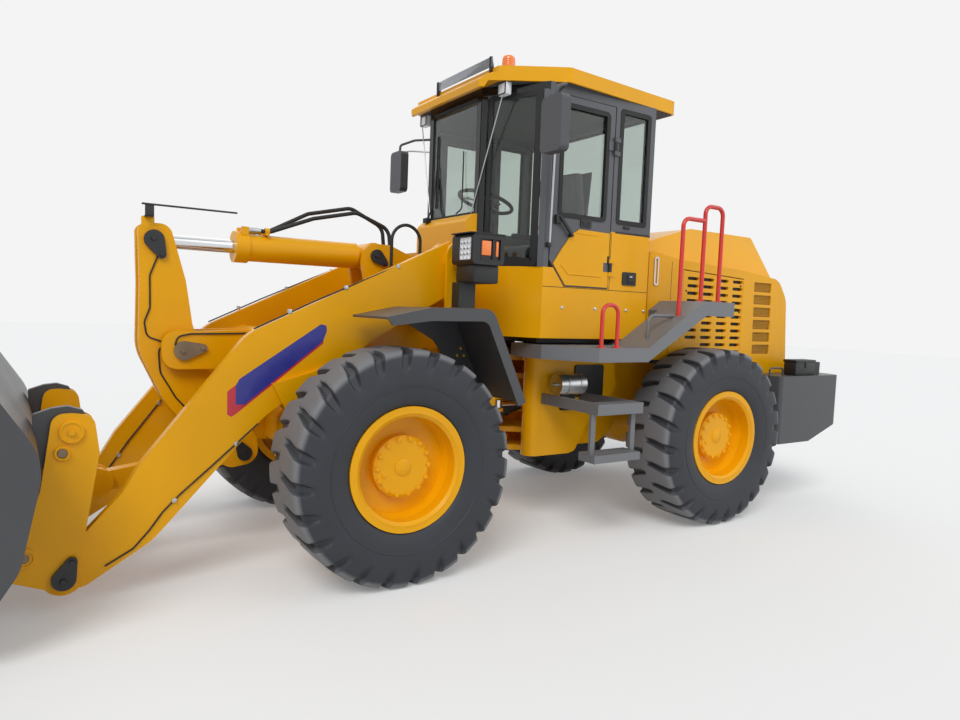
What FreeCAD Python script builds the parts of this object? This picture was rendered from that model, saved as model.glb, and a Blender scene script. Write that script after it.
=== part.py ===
import FreeCAD, Part
import math
import os

# Articulated wheel loader: front frame with arms and bucket, rear frame with cab and engine.
# Millimetres. While it is built, X = 0 is the articulation pin, +X forward, +Y left, +Z up,
# and the ground is z = 0. place() then centres the finished machine on its length.

# Wheels and axles
WHEELBASE = 2700.0
TRACK = 1850.0
TYRE_R = 674.0
TYRE_WIDTH = 445.0
TREAD_WIDTH = 400.0
RIM_R = 355.6
RIM_WIDTH = 390.0
RIM_WALL = 10.0
FLANGE = 15.0
BEAD_R = 318.0
DISC_OFFSET = 45.0
DISC_THICK = 25.0
HUB_R = 178.0
HUB_FACE = 109.0
DRUM_R = 150.0
DRUM_DEPTH = 120.0
SPINDLE_R = 60.0
GROOVES = 28
GROOVE_DEPTH = 26.0
GROOVE_WIDTH = 42.0
AXLE_TUBE_R = 105.0
AXLE_BOWL_R = 215.0
BRAKE_R = 165.0

# Clearances
PIN_FIT = 0.3
SEAT = 0.3
RUNNING = 5.0

# Pins of the linkage, as (x, z)
ARM_PIN = (765.0, 1885.0)
ARM_TIP = (2983.0, 165.0)
CRANK_PIN = (2350.0, 1270.0)
CRANK_TOP = (2505.0, 1905.0)
CRANK_FOOT = (1975.0, 620.0)
LINK_EYE = (2778.0, 505.0)
TILT_BASE = (1130.0, 1907.0)
LIFT_BASE = (760.0, 1290.0)
LIFT_EYE = (1786.0, 990.0)
PIN_R = 40.0

# Planes across the machine, from the inner face of the tyres
TYRE_IN = TRACK / 2 - TYRE_WIDTH / 2
TOWER_OUT = TYRE_IN - 102.5
ARM_Y = TOWER_OUT - 100.0
TOWER_IN = ARM_Y - 100.0
FENDER_IN = TYRE_IN - 62.5
FENDER_OUT = TRACK / 2 + 175.0
HOOD_Y = TYRE_IN - 12.5

# Lift arms and the planes of the front frame
ARM_THICK = 60.0
ARM_END_R = 125.0
ARM_TIP_R = 95.0
TOWER_PLATE = 50.0
TOWER_BACK = 660.0
TOWER_TOP = 2010.0
TOWER_OUT_PLATE = 25.0
CRANK_GAP = 95.0
CRANK_PLATE = 32.0
EAR_PLATE = 35.0

# Cylinders
LIFT_BARREL_R = 62.0
LIFT_ROD_R = 35.0
TILT_BARREL_R = 85.0
TILT_ROD_R = 42.0
TILT_GLAND = 900.0
STEER_BARREL_R = 42.0
STEER_ROD_R = 22.0
STEER_BASE = (-560.0, 250.0)
STEER_EYE = (150.0, 215.0)
STEER_Z = 880.0

# Coupler and bucket
COUPLER_PLATE = 25.0
HOOK_PIN = (2948.0, 899.0)
LOCK_PIN = (3148.0, 296.0)
BUCKET_WIDTH = 2340.0
BUCKET_WALL = 25.0
BUCKET_ROLL = 20.0
BUCKET_REACH = 1270.0
BUCKET_FLOOR = -120.0

# Articulation
HINGE_R = 45.0
HINGE_PLATE = 40.0
HINGE_LOW = 590.0
HINGE_HIGH = 1150.0
HINGE_GAP = 70.0
COLUMN = (-40.0, 405.0)
COLUMN_R = 78.0
FENDER_WALL = 12.0
LENS_DEPTH = 10.0
HOSE_R = 13.0
HOSE_Y = 52.0
COLUMN_BASE = 515.0
COLUMN_TOP = 1240.0
MOUNT_R = 34.0

# Rear frame, counterweight and engine
FRAME_Y = 400.0
FRAME_PLATE = 30.0
TANK_Y = 482.0
REAR_END = -WHEELBASE / 2 - 1750.0
FRAME_REAR = REAR_END + 400.0
WEIGHT_FRONT = -WHEELBASE / 2 - TYRE_R - 76.0
WEIGHT_Y = 1000.0
WEIGHT_TOP = 1115.0
HITCH_X = REAR_END + 60.0
HITCH_LOW = 700.0
HITCH_PIN_R = 25.0

# Hood
HOOD_WALL = 25.0
HOOD_FRONT = -880.0
HOOD_SLOPE_Y = HOOD_Y - 290.0
HOOD_EAVE_Y = HOOD_Y - 100.0
HOOD_EAVE = 1900.0
HOOD_RIDGE = 2340.0
DOOR_GAP = 4.0
SLOT = (132.0, 26.0)
SLOT_PITCH = (187.0, 59.0)
SLOT_COLUMNS = 4
SLOT_ROWS = 11
VENT = (240.0, 82.0)
VENT_PITCH = 108.0
VENTS = 6
VENT_DEPTH = 12.0
GRILLE_Y = 430.0
GRILLE_LOW = 1180.0
GRILLE_HIGH = 1640.0
GRILLE_GAP = 8.0
GRILLE_THICK = 30.0
GRILLE_RIM = 48.0
GRILLE_SLOT = 24.0
GRILLE_PITCH = 42.0
GRILLE_BARREL = 11.0
GRILLE_PIN = 5.0
GRILLE_HINGES = (1290.0, 1530.0)

# Cab
CAB_Y = 780.0
CAB_REAR = -775.0
CAB_CORNER = 215.0
CAB_FRONT = (480.0, 360.0)
CAB_BOTTOM = 1400.0
CAB_FLOOR = 1640.0
CAB_WALL = 40.0
CAB_EAVES = 3095.0
BELT = 2165.0
SILL = 1755.0
GLASS_SILL = 1880.0
COWL_TOP = 2240.0
POST = 60.0
GLASS = 8.0
WHEEL_HUB = (170.0, 2390.0)
DOOR_BARREL = 12.0
DOOR_PIN = 6.0
DOOR_HINGES = (1910.0, 2760.0)
DOOR_REAR = -378.0
ROOF_THICK = 95.0
ROOF_LIP_Y = 560.0
ROOF_DISH = 25.0
SHAFT_R = 38.0
SHAFT_Z = 790.0
SHAFT_GAP = 35.0
NOSE = 190.0
GEARBOX_X = -640.0
GEARBOX_LOW = 900.0

# Platforms
DECK_Y = 1120.0
DECK_IN = 455.0
DECK_TOP = 1355.0
DECK_DEPTH = 95.0
FENDER_TOP = 1700.0
FENDER_BAND = 106.0

RAIL_R = 16.0
RAIL_Y = 1030.0

WHEEL_X = WHEELBASE / 2
WHEEL_Y = TRACK / 2


def vec(x, y, z):
    return FreeCAD.Vector(x, y, z)


def turned(point, centre, degrees):
    a = math.radians(degrees)
    dx, dz = point[0] - centre[0], point[1] - centre[1]
    return (centre[0] + dx * math.cos(a) - dz * math.sin(a),
        centre[1] + dx * math.sin(a) + dz * math.cos(a))


def bucket_point(x, z):
    """A point of the level bucket, measured from the arm's tip pin, at the bucket's roll."""
    return turned((ARM_TIP[0] + x, ARM_TIP[1] + z), ARM_TIP, BUCKET_ROLL)


FRONT_END = bucket_point(BUCKET_REACH, BUCKET_FLOOR)[0]
MIDDLE = (FRONT_END + REAR_END) / 2


def place(name, *shapes):
    """Write one node, its solids centred on the length of the machine."""
    solids = [s for shape in shapes for s in shape.Solids]
    whole = solids[0] if len(solids) == 1 else Part.makeCompound(solids)
    whole = whole.copy()
    whole.translate(vec(-MIDDLE, 0, 0))
    whole.exportStep("parts/%s.step" % name)


def box(x0, x1, y0, y1, z0, z1):
    return Part.makeBox(x1 - x0, y1 - y0, z1 - z0, vec(x0, y0, z0))


def outline(points):
    """Closed wire in the XY plane through (a, b) corners, or (a, b, radius) for a rounded one."""
    edges = []
    count = len(points)
    ends = []
    for i, point in enumerate(points):
        here = vec(point[0], point[1], 0)
        radius = point[2] if len(point) > 2 else 0
        before = vec(points[i - 1][0], points[i - 1][1], 0)
        after = vec(points[(i + 1) % count][0], points[(i + 1) % count][1], 0)
        if not radius:
            ends.append((here, here, None))
            continue
        u = (before - here).normalize()
        w = (after - here).normalize()
        half = math.acos(max(-1.0, min(1.0, u.dot(w)))) / 2
        back = radius / math.tan(half)
        mid = here + (u + w).normalize() * (radius / math.sin(half) - radius)
        ends.append((here + u * back, here + w * back, mid))
    for i in range(count):
        start, finish, mid = ends[i]
        if mid is not None:
            edges.append(Part.Arc(start, mid, finish).toShape())
        nxt = ends[(i + 1) % count][0]
        if (nxt - finish).Length > 1e-6:
            edges.append(Part.LineSegment(finish, nxt).toShape())
    return Part.Wire(edges)


def side_plate(points, y0, y1):
    """A plate standing along X: its outline as (x, z) corners, from y0 to y1."""
    face = Part.Face(outline(points))
    face.rotate(vec(0, 0, 0), vec(1, 0, 0), 90)
    face.translate(vec(0, y0, 0))
    return face.extrude(vec(0, y1 - y0, 0))


def flat_plate(points, z0, z1):
    """A plate lying level: its outline as (x, y) corners, from z0 to z1."""
    face = Part.Face(outline(points))
    face.translate(vec(0, 0, z0))
    return face.extrude(vec(0, 0, z1 - z0))


def cross_plate(points, x0, x1):
    """A plate standing across: its outline as (y, z) corners, from x0 to x1."""
    face = Part.Face(outline(points))
    face.rotate(vec(0, 0, 0), vec(1, 1, 1), 120)
    face.translate(vec(x0, 0, 0))
    return face.extrude(vec(x1 - x0, 0, 0))


def round_y(point, radius, y0, y1):
    return Part.makeCylinder(radius, y1 - y0, vec(point[0], y0, point[1]), vec(0, 1, 0))


def round_z(x, y, radius, z0, z1):
    return Part.makeCylinder(radius, z1 - z0, vec(x, y, z0), vec(0, 0, 1))


def bar(start, end, radius):
    return Part.makeCylinder(radius, (end - start).Length, start, end - start)


def mirrored(shape):
    return shape.mirror(vec(0, 0, 0), vec(0, 1, 0))


def both(shape):
    """A left-hand shape fused with its right-hand twin."""
    return shape.fuse(mirrored(shape)).removeSplitter()


def fused(*shapes):
    whole = shapes[0].multiFuse(list(shapes[1:]))
    return whole.removeSplitter()


def bent_tube(points, bend, radius):
    """A round tube along straight runs joined by arcs of one bend radius."""
    edges = []
    start = points[0]
    for before, here, after in zip(points, points[1:], points[2:]):
        u = (before - here).normalize()
        w = (after - here).normalize()
        half = math.acos(max(-1.0, min(1.0, u.dot(w)))) / 2
        back = bend / math.tan(half)
        mid = here + (u + w).normalize() * (bend / math.sin(half) - bend)
        if (here + u * back - start).Length > 1e-6:
            edges.append(Part.LineSegment(start, here + u * back).toShape())
        edges.append(Part.Arc(here + u * back, mid, here + w * back).toShape())
        start = here + w * back
    edges.append(Part.LineSegment(start, points[-1]).toShape())
    path = Part.Wire(edges)
    circle = Part.Wire([Part.makeCircle(radius, points[0], points[1] - points[0])])
    return path.makePipeShell([circle], True, True)


def ring_y(profile, centre):
    """Revolve (radius, y) corners about the axle line through centre (x, y, z)."""
    corners = [vec(r, y, 0) for r, y in profile]
    face = Part.Face(Part.makePolygon(corners + corners[:1]))
    solid = face.revolve(vec(0, 0, 0), vec(0, 1, 0), 360)
    solid.translate(vec(*centre))
    return solid


def tread_groove():
    """One groove at the top of a tyre: bent from the middle to the shoulder, where it runs down the side."""
    floor = TYRE_R - GROOVE_DEPTH
    top = TYRE_R + GROOVE_DEPTH
    shoulder = TREAD_WIDTH / 2 - 40
    side = TYRE_WIDTH / 2 + 15
    half = GROOVE_WIDTH / 2
    slot = flat_plate([
        (half * 0.2, -20), (half * 1.6, 80), (half, shoulder), (half, side), (-half, side),
        (-half, shoulder),
        (half * 0.2, 80), (-half, -20)], floor, top)
    drop = cross_plate([(shoulder, floor), (side, floor - 75), (side, top), (shoulder, top)], -half, half)
    return fused(slot, drop)


def tyre():
    """Tyre of a left wheel about the origin, with its block tread cut by grooves from both sides."""
    half = TYRE_WIDTH / 2
    tread = TREAD_WIDTH / 2
    bead = RIM_WIDTH / 2 - FLANGE - SEAT
    flank = [  # radius, half width
        (BEAD_R + SEAT, bead), (RIM_R + SEAT, bead), (RIM_R + 60, half - 4), (TYRE_R * 0.75, half),
        (TYRE_R * 0.92, half - 8), (TYRE_R, tread)]
    profile = [(r, -y) for r, y in flank] + [(r, y) for r, y in reversed(flank)]
    body = ring_y(profile, (0, 0, 0))
    left = tread_groove()
    right = mirrored(left)
    cutters = []
    for i in range(GROOVES):
        for groove, shift in ((left, 0.0), (right, 0.5)):
            cutter = groove.copy()
            cutter.rotate(vec(0, 0, 0), vec(0, 1, 0), 360 / GROOVES * (i + shift))
            cutters.append(cutter)
    return body.cut(Part.makeCompound(cutters))


def rim():
    """Rim of a left wheel about the origin: flanged barrel, tapered inside to its disc, with the hub and drum."""
    edge = RIM_WIDTH / 2
    inner = BEAD_R - RIM_WALL
    well = inner - 30
    profile = [
        (0, HUB_FACE), (HUB_R - 20, HUB_FACE), (HUB_R, HUB_FACE - 12), (HUB_R, DISC_OFFSET),
        (well, DISC_OFFSET),
        (inner - 12, DISC_OFFSET + 60), (inner - 12, edge - 14), (inner + 6, edge), (RIM_R, edge),
        (RIM_R, edge - FLANGE), (BEAD_R, edge - FLANGE),
        (BEAD_R, FLANGE - edge), (RIM_R, FLANGE - edge), (RIM_R, -edge), (inner, -edge),
        (inner, DISC_OFFSET - DISC_THICK), (DRUM_R, DISC_OFFSET - DISC_THICK),
        (DRUM_R, -DRUM_DEPTH), (SPINDLE_R + PIN_FIT, -DRUM_DEPTH),
        (SPINDLE_R + PIN_FIT, DISC_OFFSET), (0, DISC_OFFSET),
    ]
    return ring_y(profile, (0, 0, 0))


def axle(x, pinion):
    """Axle housing with its bowl, brake housings and spindles; pinion points to the pivot."""
    drum = WHEEL_Y - DRUM_DEPTH - RUNNING
    half = [
        (0, 0), (AXLE_BOWL_R, 0), (AXLE_BOWL_R, 70), (AXLE_TUBE_R + 25, 240), (AXLE_TUBE_R, WHEEL_Y - 405),
        (BRAKE_R, WHEEL_Y - 335), (BRAKE_R, drum), (SPINDLE_R, drum),
        (SPINDLE_R, WHEEL_Y + DISC_OFFSET - RUNNING),
        (0, WHEEL_Y + DISC_OFFSET - RUNNING),
    ]
    housing = both(ring_y(half, (x, 0, TYRE_R)))
    nose = Part.makeCone(150, 75, AXLE_BOWL_R + NOSE, vec(x, 0, TYRE_R), vec(pinion, 0, 0))
    return housing, nose


def front_axle():
    housing, nose = axle(WHEEL_X, -1)
    pad = both(box(WHEEL_X - 90, WHEEL_X + 90, TOWER_IN - 100, TOWER_IN + 20, TYRE_R,
        TYRE_R + AXLE_TUBE_R + 35))
    return fused(housing, nose, pad)


def rear_axle():
    housing, nose = axle(-WHEEL_X, 1)
    cradle = fused(
        round_x(-WHEEL_X - AXLE_BOWL_R - 80, -WHEEL_X - AXLE_BOWL_R + 60, 110),
        box(-WHEEL_X - AXLE_BOWL_R - 70, -WHEEL_X - AXLE_BOWL_R + 40, -110, 110, TYRE_R, TYRE_R + 190),
    )
    return fused(housing, nose, cradle)


def round_x(x0, x1, radius, y=0.0, z=TYRE_R):
    return Part.makeCylinder(radius, x1 - x0, vec(x0, y, z), vec(1, 0, 0))


def front_frame():
    """Twin tower plates over the axle, tied by cross walls, with the hinge tongues behind."""
    seat_z = TYRE_R + AXLE_TUBE_R + 35
    tower = [
        (330, 600, 40), (330, 1195, 60), (TOWER_BACK, 1235, 20), (TOWER_BACK, TOWER_TOP, 100),
        (870, TOWER_TOP, 100),
        (900, 1600, 80), (1130, 1480, 80), (1890, 900, 60), (1890, 640, 60), (1650, 600, 40),
        (WHEEL_X + 170, seat_z + 50, 40), (WHEEL_X - 170, seat_z + 50, 40), (WHEEL_X - 300, 600, 40),
    ]
    inner = side_plate(tower, TOWER_IN, TOWER_IN + TOWER_PLATE)
    outer_end = TOWER_OUT + TOWER_OUT_PLATE
    outer = side_plate(
        [(TOWER_BACK, 1180, 40), (TOWER_BACK, TOWER_TOP, 100), (870, TOWER_TOP, 100), (860, 1180, 60)],
        TOWER_OUT, outer_end)
    web = fused(
        box(TOWER_BACK, TOWER_BACK + 20, TOWER_IN, outer_end, 1240, 1640),
        box(TOWER_BACK, 780, TOWER_IN, outer_end, 1440, 1465),
        box(TOWER_BACK, 780, TOWER_IN, outer_end, 1185, 1205))
    pins = fused(
        round_y(ARM_PIN, PIN_R, TOWER_IN - 10, outer_end + 12),
        round_y(LIFT_BASE, PIN_R, TOWER_IN - 10, outer_end + 12),
        round_y(ARM_PIN, 75, outer_end, outer_end + 8),
        round_y(LIFT_BASE, 62, outer_end, outer_end + 8))
    side = fused(inner, outer, web, pins)
    width = TOWER_IN + 5
    cross = [
        box(330, 360, -width, width, 600, 1195),
        box(360, 930, -width, width, 640, 665),
        box(690, 1130, -width, width, 1350, 1380),
        box(775, 800, -width, width, 1380, 1960),
        box(1600, 1715, -width, width, 640, 665),
        box(1690, 1715, -width, width, 640, 1020),
        box(1060, 1090, -width, width, 800, 1380),
        side_plate([(1090, 1480), (1130, 1470), (1715, 1024), (1715, 994), (1122, 1446), (1090, 1456)],
            -width, width),
    ]
    cross[1] = cross[1].cut(box(600, 1000, -90, 90, 600, 700))
    cross[0] = cross[0].cut(box(320, 370, -90, 90, SHAFT_Z - 110, SHAFT_Z + 110))
    cross[7] = cross[7].cut(box(1180, 1420, 150 - TOWER_IN, TOWER_IN - 150, 1000, 1500))
    reach = sorted((790.0, WHEEL_X - 490))
    bracket = both(box(reach[0], reach[1], outer_end - 1, FENDER_IN - SEAT, 1390, 1480))
    saddle = both(box(WHEEL_X - 120, WHEEL_X + 120, TOWER_IN - 100, TOWER_IN + 10, seat_z, seat_z + 70))
    tongue = [(-70, -90, 60), (-70, 90, 60), (120, 130, 80), (345, 300), (345, -300), (120, -130, 80)]
    tongues = [
        flat_plate(tongue, z - HINGE_PLATE / 2, z + HINGE_PLATE / 2).cut(
            round_z(0, 0, HINGE_R + PIN_FIT, z - HINGE_PLATE, z + HINGE_PLATE))
        for z in (HINGE_LOW, HINGE_HIGH)]
    steer_ears = both(fused(*[
        flat_plate([(345, 120), (345, 310), (190, 255, 40), (105, 240, 20), (105, 190, 15),
            (170, 150, 40)], z, z + 25)
        for z in (STEER_Z + 36, STEER_Z - 61)]))
    low_tie = box(300, 400, -300, 300, HINGE_LOW - HINGE_PLATE / 2, HINGE_LOW + 50)
    tilt_ears = both(side_plate(
        [(800, 1370), (800, 1900, 80), (1030, 1990, 90), (1210, 1990, 80), (1235, 1860, 60), (1125, 1370)],
        TILT_BARREL_R + RUNNING, TILT_BARREL_R + RUNNING + EAR_PLATE))
    tilt_end = TILT_BARREL_R + RUNNING + EAR_PLATE + 10
    tilt_pin = round_y(TILT_BASE, PIN_R, -tilt_end, tilt_end)
    return fused(both(side), bracket, saddle, low_tie, steer_ears, tilt_ears, tilt_pin, *cross, *tongues)


def lift_arm():
    shape = [
        (800, 2013), (2094, 1394, 260), (2640, 700, 200), (2720, 560, 60), (2930, 330, 200),
        (3010, 165, 60), (2930, 75, 80), (2576, 291, 300), (1989, 931, 500), (1287, 1396, 600),
        (815, 1660, 60),
        (700, 1790, 60), (700, 1980, 60),
    ]
    y1 = ARM_Y + ARM_THICK
    middle = ARM_Y + ARM_THICK / 2
    blade = fused(
        side_plate(shape, ARM_Y, y1), round_y(ARM_PIN, ARM_END_R, ARM_Y, y1),
            round_y(ARM_TIP, ARM_TIP_R, ARM_Y, y1),
        round_y(ARM_PIN, 90, TOWER_IN + TOWER_PLATE + 3, TOWER_OUT - 3))
    lug = [(1640, 1200), (1960, 1110), (1880, 960, 70), (1760, 890, 75), (1670, 990, 60)]
    pad = [(1640, 1200), (1960, 1110), (1920, 1040), (1650, 1135)]
    reach = LIFT_ROD_R + RUNNING + 2
    lugs = []
    for side in (-1, 1):
        near = middle + side * reach
        far = near + side * 18
        edge = middle + side * ARM_THICK / 2
        lugs.append(side_plate(lug, min(near, far), max(near, far)))
        lugs.append(side_plate(pad, min(edge, far), max(edge, far)))
    room = fused(
        round_y(LIFT_EYE, 85, ARM_Y, y1),
        side_plate([LIFT_EYE + (0,), (1500, 900), (1500, 1150), (1700, 1110)], ARM_Y, y1))
    blade = blade.cut(room)
    blade = fused(blade, *lugs)
    blade = blade.cut(round_y(ARM_PIN, PIN_R + PIN_FIT, ARM_Y - 60, y1 + 60))
    blade = blade.cut(round_y(ARM_TIP, PIN_R + PIN_FIT, ARM_Y - 60, y1 + 60))
    beam = round_y((1830, 1290), 115, -ARM_Y - 10, ARM_Y + 10)
    ear = [
        (2240, 1385, 90), (2470, 1385, 90), (2470, 1160, 90), (2200, 1160, 60), (1900, 1190), (1800, 1300),
        (1900, 1400, 60)]
    inner = CRANK_GAP / 2 + CRANK_PLATE + 3
    ears = both(side_plate(ear, inner + 30, inner + 30 + EAR_PLATE))
    pin = round_y(CRANK_PIN, PIN_R, -inner - 30 - EAR_PLATE - 6, inner + 30 + EAR_PLATE + 6)
    return fused(both(blade), beam, ears, pin)


def bellcrank():
    shape = [
        (2420, 2000, 70), (2590, 2000, 50), (2580, 1650, 400), (2585, 1270, 300), (2440, 960, 400),
        (2080, 530, 90), (1880, 560, 90), (1900, 720, 60), (2200, 1150, 200), (2290, 1420, 80),
        (2330, 1680, 120),
    ]
    y0 = CRANK_GAP / 2
    plates = both(side_plate(shape, y0, y0 + CRANK_PLATE))
    hub = round_y(CRANK_PIN, 88, -y0 - CRANK_PLATE - 30, y0 + CRANK_PLATE + 30)
    web = side_plate([(2440, 1500), (2500, 1500), (2510, 1130), (2440, 1130)], -y0, y0)
    crank = fused(plates, hub, web)
    crank = crank.cut(round_y(CRANK_PIN, PIN_R + PIN_FIT, -200, 200))
    foot = round_y(CRANK_FOOT, PIN_R, -y0 - CRANK_PLATE - 8, y0 + CRANK_PLATE + 8)
    top = both(round_y(CRANK_TOP, 55, y0 + CRANK_PLATE, y0 + CRANK_PLATE + 10))
    return fused(crank, foot, top)


def bucket_link():
    half = CRANK_GAP / 2 - RUNNING
    dx, dz = LINK_EYE[0] - CRANK_FOOT[0], LINK_EYE[1] - CRANK_FOOT[1]
    length = math.hypot(dx, dz)
    n = (-dz / length, dx / length)
    h = 55
    strap = side_plate([
        (CRANK_FOOT[0] + n[0] * h, CRANK_FOOT[1] + n[1] * h),
        (LINK_EYE[0] + n[0] * h, LINK_EYE[1] + n[1] * h),
        (LINK_EYE[0] - n[0] * h, LINK_EYE[1] - n[1] * h),
        (CRANK_FOOT[0] - n[0] * h, CRANK_FOOT[1] - n[1] * h)],
        -half, half)
    link = fused(strap, round_y(CRANK_FOOT, 80, -half, half), round_y(LINK_EYE, 75, -half, half))
    return link.cut(round_y(CRANK_FOOT, PIN_R + PIN_FIT, -half - 1, half + 1))


def coupler():
    plate = [
        (2948, 990, 80), (2850, 975, 60), (2825, 790, 30), (2912, 228, 30), (2970, 85, 40), (3250, 200, 40),
        (3150, 411, 60), (3081, 613, 200), (3047, 860, 80), (3030, 985, 60)]
    outer_y = ARM_Y + ARM_THICK + RUNNING
    inner_y = ARM_Y - RUNNING - COUPLER_PLATE
    side = fused(
        side_plate(plate, outer_y, outer_y + COUPLER_PLATE),
            side_plate(plate, inner_y, inner_y + COUPLER_PLATE),
        round_y(ARM_TIP, PIN_R, inner_y, outer_y + COUPLER_PLATE + 14),
        round_y(HOOK_PIN, PIN_R - 8, inner_y, outer_y + COUPLER_PLATE + 10),
        round_y(LOCK_PIN, PIN_R - 8, inner_y, outer_y + COUPLER_PLATE + 10))
    tube = round_y((3030, 600), 50, -inner_y - 5, inner_y + 5)
    lug = [(3035, 648), (2800, 600, 60), (2700, 560, 60), (2720, 430, 70), (2850, 430, 60), (3035, 552)]
    lugs = both(side_plate(lug, CRANK_GAP / 2 + 2, CRANK_GAP / 2 + 32))
    return fused(both(side), tube, lugs)


def bucket():
    def at(points):
        return [bucket_point(p[0], p[1]) + tuple(p[2:]) for p in points]

    low = BUCKET_FLOOR
    outer = [(BUCKET_REACH, low), (330, low, 160), (262, 180, 200), (330, 640, 300), (640, 880, 20),
        (660, 905, 5)]
    half = BUCKET_WIDTH / 2
    w = BUCKET_WALL
    inner = [(BUCKET_REACH, low + 12), (345, low + w, 145), (262 + w, 185, 190), (345, 620, 280),
        (640, 850)]
    skin = side_plate(at(outer + [(655, 880), (640, 850)] + inner[-2::-1]), -half, half)
    cheek = side_plate(at([(BUCKET_REACH - 60, low + 12)] + outer[1:] + [(760, 600, 80)]), half - w, half)
    ear = at([(150, 60, 60), (150, 130), (265, 240), (275, 560), (150, 640, 40), (160, 760, 60),
        (270, 770, 60),
              (360, 640), (400, 300), (300, -60), (200, -20, 50)])
    y0, y1 = ARM_Y + 4, ARM_Y + ARM_THICK - 4
    ears = side_plate(ear, y0, y1)
    ears = ears.cut(round_y(HOOK_PIN, PIN_R - 8 + PIN_FIT, y0 - 1, y1 + 1))
    ears = ears.cut(round_y(LOCK_PIN, PIN_R - 8 + PIN_FIT, y0 - 1, y1 + 1))
    hollow = side_plate(at(inner + [(1400, 900), (1400, low + 12)]), -half + w, half - w)
    return fused(fused(skin, both(cheek), both(ears)).cut(hollow))


def cylinder_parts(base, eye, y, gland_at, barrel_r, rod_r, base_width, eye_width, base_pin):
    """Barrel and rod between two pins at a plane y: the barrel turns on its base pin."""
    start = vec(base[0], y, base[1])
    end = vec(eye[0], y, eye[1])
    along = (end - start).normalize()
    length = (end - start).Length
    tail = barrel_r + 20
    barrel = fused(
        bar(start + along * tail, start + along * gland_at, barrel_r),
        bar(start + along * (gland_at - 70), start + along * (gland_at + 12), barrel_r + 12),
        round_y(base, barrel_r + 8, y - base_width / 2, y + base_width / 2),
        bar(start, start + along * (tail + 30), barrel_r * 0.8))
    barrel = barrel.cut(round_y(base, base_pin + PIN_FIT, y - base_width, y + base_width))
    bore = bar(start + along * (tail + 60), start + along * (gland_at + 20), rod_r + PIN_FIT)
    barrel = barrel.cut(bore)
    rod = fused(
        bar(start + along * (gland_at - 180), start + along * (length - 30), rod_r),
        round_y(eye, max(rod_r + 28, 62), y - eye_width / 2, y + eye_width / 2))
    return barrel, rod


def lift_cylinder():
    y = ARM_Y + ARM_THICK / 2
    return cylinder_parts(LIFT_BASE, LIFT_EYE, y, 900, LIFT_BARREL_R, LIFT_ROD_R, 96, ARM_THICK - 8, PIN_R)


def tilt_cylinder():
    """Tilt cylinder with its two port blocks on the gland."""
    barrel, rod = cylinder_parts(
        TILT_BASE, CRANK_TOP, 0.0, TILT_GLAND, TILT_BARREL_R, TILT_ROD_R, 2 * TILT_BARREL_R,
            CRANK_GAP - 12, PIN_R)
    x, z = TILT_BASE[0] + TILT_GLAND - 65, TILT_BASE[1] + TILT_BARREL_R
    port = both(box(x, x + 40, HOSE_Y - 18, HOSE_Y + 18, z - 15, z + 37))
    return fused(barrel, port), rod


def tilt_hoses():
    """Two pressure hoses over the tilt cylinder, from the gland to the back of its base pin."""
    x, z = TILT_BASE
    start = z + TILT_BARREL_R + 19
    hoses = []
    for y, rise in ((HOSE_Y, 0), (-HOSE_Y, 40)):
        route = [
            vec(x + TILT_GLAND - 65 - SEAT, y, start), vec(x + 700, y, start),
                vec(x + 420, y, z + 215 + rise),
            vec(x + 120, y, z + 285 + rise), vec(x - 120, y, z + 195 + rise / 2), vec(x - 150, y, z - 60)]
        hoses.append(bent_tube(route, 90, HOSE_R))
    return hoses


def tower_hose():
    """Hose looping up from the deck of the front frame beside the tilt cylinder."""
    y, low, high = 220, 1380 + SEAT, 2125
    route = [vec(1065, y, low), vec(1065, y, high), vec(850, y, high), vec(850, y, low)]
    return bent_tube(route, 110, HOSE_R - 2)


def drive_shafts():
    """Front and rear halves of the drive shaft, meeting at the articulation."""
    nose = WHEEL_X - AXLE_BOWL_R - NOSE
    front = fused(
        bar(vec(nose + 20, 0, TYRE_R), vec(SHAFT_GAP + 40, 0, SHAFT_Z), SHAFT_R).cut(
            box(nose - SEAT, nose + 100, -100, 100, 500, 900)),
        round_x(SHAFT_GAP, SHAFT_GAP + 60, SHAFT_R + 6, 0, SHAFT_Z))
    rear = fused(
        bar(vec(-SHAFT_GAP - 40, 0, SHAFT_Z), vec(GEARBOX_X - 60, 0, SHAFT_Z + 170), SHAFT_R),
        round_x(-SHAFT_GAP - 60, -SHAFT_GAP, SHAFT_R + 6, 0, SHAFT_Z))
    axle_half = bar(vec(-nose - 20, 0, TYRE_R), vec(GEARBOX_X - 100, 0, 935), SHAFT_R)
    ends = fused(
        box(GEARBOX_X - 300, GEARBOX_X + SEAT, -100, 100, GEARBOX_LOW - SEAT, 1200),
        box(-nose - 100, -nose + SEAT, -100, 100, 500, 760))
    return front, rear.cut(ends), axle_half.cut(ends)


def steer_cylinder():
    """Steering ram on the left: turns about Z on the rear frame, open at the front frame."""
    start = vec(STEER_BASE[0], STEER_BASE[1], STEER_Z)
    end = vec(STEER_EYE[0], STEER_EYE[1], STEER_Z)
    along = (end - start).normalize()
    length = (end - start).Length
    barrel = fused(
        bar(start + along * 50, start + along * 480, STEER_BARREL_R),
        bar(start, start + along * 70, 26),
        round_z(start.x, start.y, 40, STEER_Z - 30, STEER_Z + 30))
    barrel = barrel.cut(round_z(start.x, start.y, 22 + PIN_FIT, STEER_Z - 40, STEER_Z + 40))
    barrel = barrel.cut(bar(start + along * 100, start + along * 490, STEER_ROD_R + PIN_FIT))
    rod = fused(
        bar(start + along * 330, start + along * (length - 15), STEER_ROD_R),
        round_z(end.x, end.y, 38, STEER_Z - 28, STEER_Z + 28))
    return barrel, rod


def over_wheel(points):
    """Corners measured along X from the middle of the front wheel."""
    return [(WHEEL_X + p[0],) + tuple(p[1:]) for p in points]


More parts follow.
